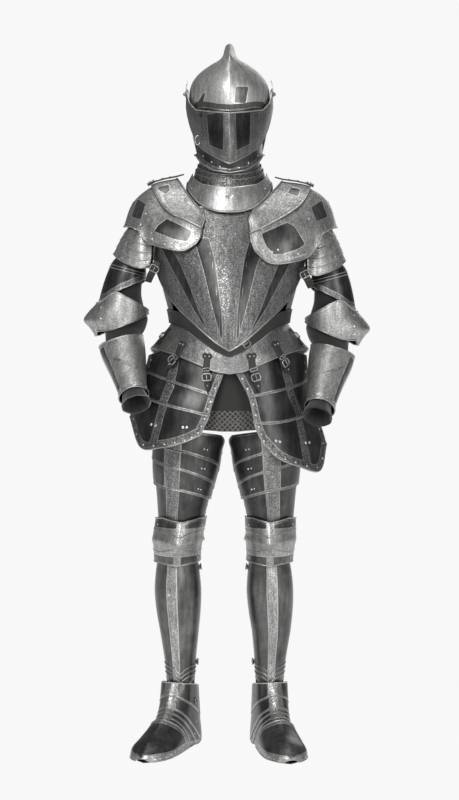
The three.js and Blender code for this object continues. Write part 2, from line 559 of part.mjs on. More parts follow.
// ---- legs: one table for the right leg, the left stands a little nearer the middle ---------------
const toLeftLeg = line([[0, -22], [150, -22], [287, -21], [391, -28], [467, -30], [518, -27], [578, -18], [760, -14]]);
const leg = (surface) => ({ R: surface, L: mirrored(surface, (p) => [-p[0] + toLeftLeg(p[2]), p[1], p[2]]) });
const THIGH = leg(form('z x l r f b', [
  [810, -102, 84, 96, 86, 90],
  [768, -104, 84, 90, 87, 90],
  [745, -106, 83, 85, 86, 90],
  [700, -109, 80, 80, 84, 86],
  [640, -114, 69, 68, 76, 76],
  [590, -119, 60.5, 60, 66, 66],
  [555, -121, 57, 55, 62, 60],
]));
const KNEE = leg(form('z x l r f b kf', [
  [590, -118, 63, 60.5, 70, 60, 2],
  [560, -121, 64.5, 59, 77, 60, 4],
  [535, -125, 64.5, 57.5, 84, 60, 6],
  [515, -127, 63, 56.5, 85, 60, 7],
  [490, -129, 59.5, 55.5, 77, 60, 5],
  [462, -130, 57, 55, 66, 60, 2],
], 30));
const SHIN = leg(form('z x a f b kf', [
  [485, -130, 50.5, 54, 56, 2],
  [462, -130, 52, 55, 62, 4],
  [435, -130, 55.5, 57, 70, 5],
  [391, -129.5, 58.5, 58, 80, 7],
  [340, -128, 55.5, 55, 76, 7],
  [287, -126, 48.5, 51, 62, 7],
  [225, -124, 40.5, 46, 50, 6],
  [185, -123, 37.2, 44, 45, 5],
  [160, -123, 35, 41, 44, 1],
  [100, -123, 33, 42, 47, 0],
  [50, -123, 33, 38, 52, 0],
  [6, -123, 34, 34, 55, 0],
], 26));
const FRONT = [-110, -82, -54, -27, 0, 27, 54, 82, 104];
for (const side of ['R', 'L']) {
  plate(`cuisse_lames_${side}`, THIGH[side], {
    cols: FRONT, from: line([[-110, 800], [0, 800], [60, 786], [104, 752]]),
    to: line([[-110, 668], [0, 648], [60, 627], [104, 622]]),
    ...lames([0.36, 0.66, 1], 1.6, 1.2, 0.025),
  });
  plate(`cuisse_${side}`, THIGH[side], {
    cols: FRONT, from: line([[-110, 676], [0, 656], [60, 635], [104, 630]]), to: () => 566,
    rows: [0, 0.5, 1], lift: -WALL,
  });
  plate(`poleyn_${side}`, KNEE[side], {
    cols: [-126, ...FRONT.slice(0, -1), 98], lift: 0,
    from: line([[-128, 548], [-115, 562], [-92, 574], [-45, 580], [0, 570], [45, 580], [92, 578], [98, 574]]),
    to: line([[-128, 490], [-115, 474], [-92, 466], [-45, 468], [0, 462], [45, 468], [92, 470], [98, 474]]),
    rows: [0, 0.3, 0.55, 0.8, 1],
  });
  plate(`greave_front_${side}`, SHIN[side], {
    cols: [-88, -66, -44, -22, 0, 22, 44, 66, 88], lift: -WALL,
    from: () => 482, to: even([[0, 150], [22, 153], [44, 160], [66, 167], [88, 172]]),
    rows: [0, 0.17, 0.36, 0.56, 0.8, 1],
  });
  plate(`greave_back_${side}`, SHIN[side], {
    cols: [91, 115, 147, 180, 213, 245, 269], lift: -WALL,
    from: () => 470, to: () => 6,
    rows: [0, 0.17, 0.36, 0.56, 0.78, 1],
  });
}

// ---- feet ---------------------------------------------------------------------------------------
const INSTEP = [
  [[38.5, 20, 150], [39, -8, 158], [33, -40, 163], [0, -57, 166]],
  [[39, 26, 78], [40, -12, 100], [32, -50, 122], [0, -70, 137]],
  [[41, 28, 6], [41, -20, 48], [31, -66, 90], [0, -86, 106]],
  [[42, -40, 6], [40, -62, 43], [28, -90, 74], [0, -104, 88]],
  [[46, -95, 6], [43, -107, 37], [29, -124, 57], [0, -134, 68]],
  [[49, -142, 6], [45, -149, 29], [30, -159, 44], [0, -167, 52]],
  [[47, -186, 6], [43, -190, 23], [27, -198, 34], [0, -204, 40]],
  [[34, -219, 6], [29, -221, 14], [18, -226, 20], [0, -230, 23]],
  [[16, -233, 6], [13, -235, 8], [8, -237, 10], [0, -238, 11]],
];
const whole = (half) => [...half.map(([x, y, z]) => [-x, y, z]), ...half.slice(0, -1).reverse()];
const ARCH = [0, 0.7, 1.4, 2.2, 3, 3.8, 4.6, 5.3, 6];
for (const side of ['R', 'L']) {
  const turn = FOOT_TURN[side] * DEG * (side === 'R' ? -1 : 1);
  const place = ([x, y, z]) => [ANKLE[side][0] + x * Math.cos(turn) - y * Math.sin(turn),
    ANKLE[side][1] + x * Math.sin(turn) + y * Math.cos(turn), z];
  const foot = net(INSTEP.map((row) => whole(row).map(place)), place([0, -60, -40]));
  plate(`sabaton_${side}`, foot, {
    cols: ARCH, from: () => 0, to: () => 3.6,
    ...lames([0.3, 0.56, 0.7, 0.85, 1], 1.2, 0, 0.02),
  });
  plate(`toe_cap_${side}`, foot, {
    cols: ARCH, from: () => 3.42, to: () => 8, rows: [0, 0.2, 0.42, 0.65, 0.87, 1], lift: (t) => 4.8 - 1.8 * t,
  });
  const outline = [[0, 66], [22, 60], [36, 40], [40, 0], [42, -60], [45, -110], [46, -150], [40, -190], [24, -215],
    [0, -232]];
  const rim = [...outline, ...outline.slice(1, -1).reverse().map(([x, y]) => [-x, y])];
  const points = [0, SOLE_WALL].flatMap((z) => rim.map(([x, y]) => place([x, y, z])));
  const n = rim.length, faces = [];
  for (let i = 0; i < n; i++) {
    const j = (i + 1) % n;
    faces.push([i, j, n + j], [i, n + j, n + i]);
  }
  for (let i = 1; i < n - 1; i++) faces.push([0, i + 1, i], [n, n + i, n + i + 1]);
  addBody(`sole_${side}`, points, faces, LEATHER);
}

suit.position.set(CENTRE[0], CENTRE[1], 0);
export default suit;
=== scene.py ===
# The looks of a standing suit of plate armour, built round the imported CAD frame.
# Surfaces are the same ones the solids are made from, in millimetres, sampled finely.
import math

import bpy
import numpy as np
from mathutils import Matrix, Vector


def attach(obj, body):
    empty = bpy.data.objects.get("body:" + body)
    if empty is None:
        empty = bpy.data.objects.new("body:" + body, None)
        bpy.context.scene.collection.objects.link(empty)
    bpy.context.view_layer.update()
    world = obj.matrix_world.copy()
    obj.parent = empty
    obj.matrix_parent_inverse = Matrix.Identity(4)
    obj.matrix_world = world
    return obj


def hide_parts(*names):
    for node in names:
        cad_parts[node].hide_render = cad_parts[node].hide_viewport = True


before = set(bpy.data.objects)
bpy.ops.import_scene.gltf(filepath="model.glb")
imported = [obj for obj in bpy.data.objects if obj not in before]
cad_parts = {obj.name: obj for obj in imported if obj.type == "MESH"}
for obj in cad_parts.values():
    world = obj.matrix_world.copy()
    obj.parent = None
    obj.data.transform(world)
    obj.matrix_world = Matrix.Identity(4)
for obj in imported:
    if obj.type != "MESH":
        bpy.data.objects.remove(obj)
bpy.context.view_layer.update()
CENTRE = np.array([6.5, 45.81, 0.0])
DEG = math.pi / 180

# ---- camera, light, floor ------------------------------------------------------------------------
EYE = np.array([0.0, -5200.0, 1200.0]) + CENTRE
AIM = np.array([0.0, 0.0, 870.0]) + CENTRE
IMAGE = (459, 800)
FOCAL = 2084.4            # for an image of that height
POINT_MM = 2.45           # size of one front view point on the armour


def unit(v):
    return v / (np.linalg.norm(v, axis=-1, keepdims=True) + 1e-12)


_d = unit(AIM - EYE)
_r = unit(np.cross(_d, [0, 0, 1.0]))
_u = np.cross(_r, _d)


def front(p):
    """Front view coordinates of points: across from 0 to 459, down from 0 to 800."""
    w = np.asarray(p, float) + CENTRE - EYE
    depth = w @ _d
    across, down = FOCAL * (w @ _r) / depth, -FOCAL * (w @ _u) / depth
    return np.stack([IMAGE[0] / 2 + across, IMAGE[1] / 2 + down], -1)


cam = bpy.data.cameras.new("camera")
cam.sensor_fit = "VERTICAL"
cam.sensor_height = 24.0
cam.sensor_width = 24.0
cam.lens = cam.sensor_height * FOCAL / IMAGE[1]
eye = bpy.data.objects.new("camera", cam)
bpy.context.collection.objects.link(eye)
eye.location = EYE / 1000
eye.rotation_mode = "QUATERNION"
eye.rotation_quaternion = Vector(_d).to_track_quat("-Z", "Y")
bpy.context.scene.camera = eye
bpy.context.scene.view_settings.view_transform = "Standard"


def area_light(name, where, at, size, watts):
    lamp = bpy.data.lights.new(name, "AREA")
    lamp.shape, lamp.size, lamp.size_y, lamp.energy = "RECTANGLE", size[0], size[1], watts
    o = bpy.data.objects.new(name, lamp)
    bpy.context.collection.objects.link(o)
    o.location = where
    o.rotation_mode = "QUATERNION"
    o.rotation_quaternion = (Vector(at) - Vector(where)).to_track_quat("-Z", "Y")
    return o


area_light("key", (-1.3, -4.2, 3.3), (0, 0, 1.0), (1.6, 2.2), 150)
area_light("fill", (2.6, -3.6, 1.6), (0, 0, 0.9), (1.2, 2.4), 55)
area_light("top", (0, 0.3, 4.2), (0, 0, 1.0), (2.0, 2.0), 40)
area_light("low", (0, -3.5, 0.3), (0, 0, 0.6), (2.5, 0.5), 8)
area_light("rear", (1.5, 4.0, 2.4), (0, 0, 1.0), (2.0, 2.4), 22)


def new_material(name):
    m = bpy.data.materials.new(name)
    m.use_nodes = True
    m.node_tree.nodes.clear()
    return m


class Nodes:
    """Small helper to write node graphs as expressions."""

    def __init__(self, tree):
        self.t = tree

    def new(self, kind, **sockets):
        n = self.t.nodes.new(kind)
        for k, v in sockets.items():
            self.put(n.inputs[k.replace("_", " ")], v)
        return n

    def put(self, socket, v):
        if isinstance(v, bpy.types.NodeSocket):
            self.t.links.new(v, socket)
        elif isinstance(v, bpy.types.Node):
            self.t.links.new(v.outputs[0], socket)
        else:
            socket.default_value = v

    def math(self, op, a, b=0.0, c=0.0):
        n = self.t.nodes.new("ShaderNodeMath")
        n.operation = op
        for s, v in zip(n.inputs, (a, b, c)):
            self.put(s, v)
        return n.outputs[0]

    def smooth(self, x, lo, hi):
        n = self.t.nodes.new("ShaderNodeMapRange")
        n.interpolation_type = "SMOOTHSTEP"
        self.put(n.inputs[0], x)
        n.inputs[1].default_value, n.inputs[2].default_value = lo, hi
        n.inputs[3].default_value, n.inputs[4].default_value = 0.0, 1.0
        if lo > hi:
            n.inputs[1].default_value, n.inputs[2].default_value = hi, lo
            n.inputs[3].default_value, n.inputs[4].default_value = 1.0, 0.0
        return n.outputs[0]

    def mix(self, f, a, b):
        n = self.t.nodes.new("ShaderNodeMix")
        n.data_type = "FLOAT"
        self.put(n.inputs[0], f)
        self.put(n.inputs[2], a)
        self.put(n.inputs[3], b)
        return n.outputs[0]

    def tint(self, v, warm=(1.0, 1.0, 1.0)):
        n = self.t.nodes.new("ShaderNodeCombineColor")
        for s, k in zip(n.inputs, warm):
            self.put(s, v if k == 1.0 else self.math("MULTIPLY", v, k))
        return n.outputs[0]

    def close(self, material, shader):
        self.put(self.t.nodes.new("ShaderNodeOutputMaterial").inputs[0], shader.outputs[0])
        return material

    def attribute(self, name):
        n = self.t.nodes.new("ShaderNodeAttribute")
        n.attribute_name = name
        return n.outputs["Fac"]


def armour_material():
    """Steel: dark russet panels where 'etch' is below 0, bright etched foliage where it is above.
    etch, rim and line are signed distances in millimetres, kept on the mesh."""
    m = new_material("armour_steel")
    g = Nodes(m.node_tree)
    uv = g.new("ShaderNodeUVMap").outputs[0]
    obj = g.new("ShaderNodeTexCoord").outputs["Object"]
    cloud = g.new("ShaderNodeTexNoise", Vector=obj, Scale=14.0, Detail=6.0, Roughness=0.65).outputs["Fac"]
    fine = g.new("ShaderNodeTexNoise", Vector=obj, Scale=260.0, Detail=3.0, Roughness=0.6).outputs["Fac"]
    # foliage: leaf cells warped by noise, with a dotted ground
    bend = g.new("ShaderNodeTexNoise", Vector=uv, Scale=45.0, Detail=1.0).outputs["Color"]
    warp = g.t.nodes.new("ShaderNodeMix")
    warp.data_type = "VECTOR"
    warp.inputs[0].default_value = 0.012
    g.put(warp.inputs[4], uv)
    g.put(warp.inputs[5], bend)
    leaf = g.new("ShaderNodeTexVoronoi", Vector=warp.outputs[1], Scale=210.0)
    leaf.feature = "DISTANCE_TO_EDGE"
    stem = g.new("ShaderNodeTexVoronoi", Vector=warp.outputs[1], Scale=85.0)
    stem.feature = "DISTANCE_TO_EDGE"
    dots = g.new("ShaderNodeTexVoronoi", Vector=uv, Scale=420.0)
    vein = g.smooth(leaf.outputs["Distance"], 0.05, 0.16)
    scroll = g.smooth(stem.outputs["Distance"], 0.02, 0.07)
    ground = g.smooth(dots.outputs["Distance"], 0.55, 0.25)
    leafy = g.math("MULTIPLY", g.math("MULTIPLY", vein, scroll), g.math("MULTIPLY_ADD", ground, -0.35, 1.0))
    leafy = g.mix(g.attribute("plain"), leafy, 0.7)
    etch = g.attribute("etch")
    rim = g.attribute("rim")
    line = g.attribute("line")
    bright = g.smooth(etch, -0.5, 0.5)
    border = g.smooth(g.math("ABSOLUTE", etch), 1.2, 0.6)
    lines = g.smooth(g.math("ABSOLUTE", line), 1.1, 0.5)
    worn = g.smooth(rim, 3.4, 1.4)
    cloudy = g.smooth(cloud, 0.3, 0.75)
    squeeze = g.new("ShaderNodeMapping", Vector=obj)
    squeeze.inputs["Scale"].default_value = (95.0, 95.0, 9.0)
    streak = g.new("ShaderNodeTexNoise", Vector=squeeze.outputs[0], Scale=1.0, Detail=5.0,
            Roughness=0.7).outputs["Fac"]
    dark = g.mix(cloudy, DARK[0], DARK[1])
    light = g.mix(leafy, ETCH[0], ETCH[1])
    light = g.math("MULTIPLY", light, g.mix(cloudy, 0.86, 1.12))
    v = g.mix(bright, dark, light)
    v = g.mix(g.math("MAXIMUM", g.math("MAXIMUM", border, lines), worn), v, 0.36)
    v = g.math("MULTIPLY", v, g.mix(fine, 0.8, 1.2))
    v = g.math("MULTIPLY", v, g.mix(g.smooth(streak, 0.3, 0.7), 0.72, 1.24))
    v = g.math("MINIMUM", g.math("MULTIPLY", v, g.attribute("tone")), 0.85)
    b = m.node_tree.nodes.new("ShaderNodeBsdfPrincipled")
    g.put(b.inputs["Base Color"], g.tint(v, (1.0, 0.995, 0.98)))
    b.inputs["Metallic"].default_value = 0.86
    rough = g.mix(bright, g.mix(cloudy, 0.30, 0.42), g.mix(leafy, 0.52, 0.34))
    g.put(b.inputs["Roughness"], rough)
    height = g.math("ADD", g.math("MULTIPLY", leafy, bright), g.math("MULTIPLY", fine, 0.35))
    height = g.math("ADD", height, g.math("MULTIPLY", cloud, 2.2))
    bump = g.new("ShaderNodeBump", Height=height)
    bump.inputs["Strength"].default_value = 0.5
    bump.inputs["Distance"].default_value = 0.0005
    g.put(b.inputs["Normal"], bump.outputs[0])
    return g.close(m, b)


def plain_material(name, tone, rough, metal=0.0, kind="steel"):
    m = new_material(name)
    g = Nodes(m.node_tree)
    obj = g.new("ShaderNodeTexCoord").outputs["Object"]
    cloud = g.new("ShaderNodeTexNoise", Vector=obj, Scale=40.0, Detail=6.0, Roughness=0.7).outputs["Fac"]
    grain = g.new("ShaderNodeTexVoronoi", Vector=obj, Scale=900.0 if kind != "cloth" else 600.0)
    b = m.node_tree.nodes.new("ShaderNodeBsdfPrincipled")
    v = g.math("MULTIPLY", g.mix(g.smooth(cloud, 0.3, 0.7), 0.7, 1.3), tone)
    if kind == "cloth":
        weave = g.new("ShaderNodeTexWave", Vector=obj, Scale=420.0, Distortion=1.0)
        v = g.math("MULTIPLY", v, g.mix(weave.outputs["Fac"], 0.75, 1.25))
        b.inputs["Sheen Weight"].default_value = 0.35
        b.inputs["Sheen Roughness"].default_value = 0.5
    g.put(b.inputs["Base Color"], g.tint(v, (1.0, 0.98, 0.96) if kind == "steel" else (1.0, 0.94, 0.9)))
    b.inputs["Metallic"].default_value = metal
    g.put(b.inputs["Roughness"], g.mix(cloud, rough * 0.85, min(1.0, rough * 1.15)))
    bump = g.new("ShaderNodeBump", Height=g.math("ADD", grain.outputs["Distance"], cloud))
    bump.inputs["Strength"].default_value = 0.4
    bump.inputs["Distance"].default_value = 0.0004
    g.put(b.inputs["Normal"], bump.outputs[0])
    return g.close(m, b)


DARK, ETCH = (0.05, 0.12), (0.10, 0.38)
STEEL = armour_material()
BRIGHT = plain_material("bright_steel", 0.36, 0.33, 0.9)
BLACK = plain_material("shadow_iron", 0.02, 0.6, 0.3)
LEATHER = plain_material("leather", 0.018, 0.55, kind="leather")
# sleeve cloth: near-black, partly its own dark colour and partly painted shade for the armpits and elbow
# crooks
CLOTH_AND_SHADE = plain_material("cloth", 0.012, 0.95, kind="cloth")


def hem_material():
    """Dark cloth; where 'etch' is above 0 it carries a light lozenge border."""
    m = new_material("hem_cloth")
    g = Nodes(m.node_tree)
    uv = g.new("ShaderNodeUVMap").outputs[0]
    xy = g.new("ShaderNodeSeparateXYZ", Vector=uv)
    a = g.math("ADD", xy.outputs[0], xy.outputs[1])
    b = g.math("SUBTRACT", xy.outputs[0], xy.outputs[1])
    grid = [g.math("ABSOLUTE", g.math("SINE", g.math("MULTIPLY", v, 240.0))) for v in (a, b)]
    lozenge = g.smooth(g.math("MINIMUM", *grid), 0.42, 0.2)
    spots = g.new("ShaderNodeTexVoronoi", Vector=uv, Scale=170.0)
    mark = g.math("MAXIMUM", lozenge, g.smooth(spots.outputs["Distance"], 0.3, 0.15))
    on = g.smooth(g.attribute("etch"), -0.3, 0.3)
    noise = g.new("ShaderNodeTexNoise", Vector=uv, Scale=300.0, Detail=3.0).outputs["Fac"]
    v = g.mix(g.math("MULTIPLY", on, mark), 0.02, 0.15)
    v = g.math("MULTIPLY", v, g.mix(noise, 0.6, 1.4))
    p = m.node_tree.nodes.new("ShaderNodeBsdfPrincipled")
    g.put(p.inputs["Base Color"], g.tint(v, (1.0, 0.96, 0.92)))
    p.inputs["Roughness"].default_value = 0.9
    p.inputs["Sheen Weight"].default_value = 0.3
    bump = g.new("ShaderNodeBump", Height=g.math("ADD", mark, noise))
    bump.inputs["Strength"].default_value = 0.4
    bump.inputs["Distance"].default_value = 0.0006
    g.put(p.inputs["Normal"], bump.outputs[0])
    return g.close(m, p)


RIVET = plain_material("rivet_steel", 0.66, 0.28, 0.85)
MATERIALS = [STEEL, BRIGHT, BLACK, LEATHER, CLOTH_AND_SHADE, hem_material(), RIVET]      # mat=0 to 6

floor_mat = new_material("floor_paper")
_g = Nodes(floor_mat.node_tree)
_e = _g.new("ShaderNodeEmission")
_e.inputs["Color"].default_value = (0.94, 0.94, 0.94, 1)
_e.inputs["Strength"].default_value = 1.0
_o = floor_mat.node_tree.nodes.new("ShaderNodeOutputMaterial")
_g.put(_o.inputs[0], _e.outputs[0])
bpy.ops.mesh.primitive_circle_add(vertices=64, radius=12, fill_type="NGON", location=(0, 0, -0.0005))
floor = bpy.context.object
floor.name = "floor"
floor.data.materials.append(floor_mat)
world = bpy.data.worlds.new("studio")
bpy.context.scene.world = world
world.use_nodes = True
_w = Nodes(world.node_tree)
world.node_tree.nodes.clear()
_see = world.node_tree.nodes.new("ShaderNodeLightPath").outputs["Is Camera Ray"]
_bg = [_w.new("ShaderNodeBackground") for _ in range(2)]
_bg[0].inputs["Color"].default_value = (0.17, 0.17, 0.17, 1)
_bg[1].inputs["Color"].default_value = (0.94, 0.94, 0.94, 1)
_mx = world.node_tree.nodes.new("ShaderNodeMixShader")
_w.put(_mx.inputs[0], _see)
_w.put(_mx.inputs[1], _bg[0].outputs[0])
_w.put(_mx.inputs[2], _bg[1].outputs[0])
_w.put(world.node_tree.nodes.new("ShaderNodeOutputWorld").inputs[0], _mx.outputs[0])


# ---- interpolation and surfaces ------------------------------------------------------------------
def curve(rows):
    """Smooth curve through a table whose first column is the key; takes an array of keys."""
    k = np.asarray(rows, float)
    k = k[::-1] if k[0, 0] > k[-1, 0] else k
    x, n = k[:, 0], len(k)
    m = np.empty_like(k)
    m[0] = (k[1] - k[0]) / (x[1] - x[0])
    m[-1] = (k[-1] - k[-2]) / (x[-1] - x[-2])
    m[1:-1] = (k[2:] - k[:-2]) / (x[2:] - x[:-2])[:, None]

    def at(s):
        q = np.clip(np.asarray(s, float), x[0], x[-1])
        i = np.clip(np.searchsorted(x, q, side="right") - 1, 0, n - 2)
        h = x[i + 1] - x[i]
        t = (q - x[i]) / h
        a, b = 2 * t**3 - 3 * t**2 + 1, t**3 - 2 * t**2 + t
        c, d = 3 * t**2 - 2 * t**3, t**3 - t**2
        e = (..., None)
        return a[e] * k[i] + (b * h)[e] * m[i] + c[e] * k[i + 1] + (d * h)[e] * m[i + 1]

    return at


def line(rows):
    xs, ys = [r[0] for r in rows], [r[1] for r in rows]
    return lambda x: np.interp(x, xs, ys)


def even(rows):
    return line([(-x, y) for x, y in rows[:0:-1]] + list(rows))


def wrap(c):
    return (np.asarray(c, float) + 180) % 360 - 180


def dip(z0, z1, z2):
    def f(c):
        k = 1 - np.cos(np.asarray(c) * DEG)
        return np.where(k <= 1, z0 + (z1 - z0) * k, z1 + (z2 - z1) * (k - 1))
    return f


def const(v):
    return lambda c: np.full(np.shape(c), float(v))


class Form:
    def __init__(self, names, rows, ridge=40):
        self.names, self.at, self.ridge = names.split(), curve(rows), ridge

    def get(self, s):
        v = self.at(s)
        zero = np.zeros(np.shape(s))
        o = dict(x=zero, y=zero, z=np.asarray(s, float), n=zero + 2, kf=zero, kb=zero, tilt=zero, roll=zero)
        o.update({c: v[..., i] for i, c in enumerate(self.names)})
        o.setdefault("l", o.get("a"))
        o.setdefault("r", o.get("a"))
        return o

    def point(self, c, s):
        c, s = np.broadcast_arrays(np.asarray(c, float), np.asarray(s, float))
        o = self.get(s)
        t, r = o["tilt"] * DEG, o["roll"] * DEG
        cr, sr = np.cos(r), np.sin(r)
        u = np.stack([cr, 0 * cr, -sr], -1)
        w = np.stack([np.sin(t) * sr, -np.cos(t), np.sin(t) * cr], -1)
        ang = wrap(c)
        si, co = np.sin(ang * DEG), np.cos(ang * DEG)
        e = 2 / o["n"]
        side = np.where(si < 0, o["l"], o["r"]) * np.sign(si) * np.abs(si) ** e
        deep = np.where(co > 0, o["f"], o["b"]) * np.sign(co) * np.abs(co) ** e
        deep = deep + o["kf"] * np.maximum(0, 1 - np.abs(ang) / self.ridge) ** 1.5
        deep = deep - o["kb"] * np.maximum(0, 1 - (180 - np.abs(ang)) / self.ridge) ** 1.5
        mid = np.stack([o["x"], o["y"], o["z"]], -1)
        return mid + u * side[..., None] + w * deep[..., None]

    def normal(self, c, s):
        c, s = np.broadcast_arrays(np.asarray(c, float), np.asarray(s, float))
        e, h = 0.6, 2.0
        o = self.get(s)
        out = self.point(c, s) - np.stack([o["x"], o["y"], o["z"]], -1)
        v = np.cross(self.point(c + h, s) - self.point(c - h, s), self.point(c, s + e) - self.point(c, s - e))
        flat = np.linalg.norm(v, axis=-1) < 1e-4
        v = np.where(flat[..., None], out + [0, 0, 1e-6], v)
        v = unit(v)
        return np.where(((v * out).sum(-1) < 0)[..., None], -v, v)


class Net:
    def __init__(self, grid, out):
        self.rows = [curve([[i, *p] for i, p in enumerate(row)]) for row in grid]
        self.w, self.h, self.out = len(grid[0]) - 1, len(grid) - 1, np.asarray(out, float)

    def point(self, c, s):
        c, s = np.broadcast_arrays(np.asarray(c, float), np.asarray(s, float))
        p = np.stack([f(c)[..., 1:] for f in self.rows])
        n = len(p)
        m = np.empty_like(p)
        m[0], m[-1] = p[1] - p[0], p[-1] - p[-2]
        m[1:-1] = (p[2:] - p[:-2]) / 2
        q = np.clip(s, 0, n - 1)
        i = np.clip(np.floor(q).astype(int), 0, n - 2)
        t = (q - i)[..., None]

        def pick(a, k):
            return np.take_along_axis(a, k[None, ..., None], 0)[0]

        return ((2 * t**3 - 3 * t**2 + 1) * pick(p, i) + (t**3 - 2 * t**2 + t) * pick(m, i)
                + (3 * t**2 - 2 * t**3) * pick(p, i + 1) + (t**3 - t**2) * pick(m, i + 1))

    def normal(self, c, s):
        c, s = np.broadcast_arrays(np.asarray(c, float), np.asarray(s, float))
        e = 0.03
        c0, c1 = np.maximum(0, c - e), np.minimum(self.w, c + e)
        s0, s1 = np.maximum(0, s - e), np.minimum(self.h, s + e)
        v = unit(np.cross(self.point(c1, s) - self.point(c0, s), self.point(c, s1) - self.point(c, s0)))
        return np.where(((v * (self.point(c, s) - self.out)).sum(-1) < 0)[..., None], -v, v)


class Mapped:
    """The same surface carried over by a point map."""

    def __init__(self, base, move):
        self.base, self.move = base, move

    def point(self, c, s):
        return self.move(self.base.point(c, s))

    def normal(self, c, s):
        p, n = self.base.point(c, s), self.base.normal(c, s)
        return unit(self.move(p + n) - self.move(p))


def fine(a, b, size, length):
    """Even steps from a to b so that cells are about size on a run of that length."""
    return np.linspace(a, b, max(2, int(round(length / size))) + 1)


def inside(uv, poly):
    """Signed distance in millimetres to a polygon of front view points, above 0 inside."""
    p = np.asarray(poly, float)
    q = np.roll(p, -1, 0)
    d2 = np.full(len(uv), 1e9)
    odd = np.zeros(len(uv), bool)
    for a, b in zip(p, q):
        e, w = b - a, uv - a
        t = np.clip((w @ e) / (e @ e + 1e-9), 0, 1)
        d2 = np.minimum(d2, ((w - t[:, None] * e) ** 2).sum(1))
        cond = (a[1] > uv[:, 1]) != (b[1] > uv[:, 1])
        xs = a[0] + (uv[:, 1] - a[1]) * e[0] / (e[1] if abs(e[1]) > 1e-9 else 1e-9)
        odd ^= cond & (uv[:, 0] < xs)
    d = np.sqrt(d2) * POINT_MM
    return np.where(odd, d, -d)


def near_line(uv, pts):
    """Distance in millimetres to a polyline of front view points."""
    p = np.asarray(pts, float)
    d2 = np.full(len(uv), 1e9)
    for a, b in zip(p[:-1], p[1:]):
        e, w = b - a, uv - a
        t = np.clip((w @ e) / (e @ e + 1e-9), 0, 1)
        d2 = np.minimum(d2, ((w - t[:, None] * e) ** 2).sum(1))
    return np.sqrt(d2) * POINT_MM


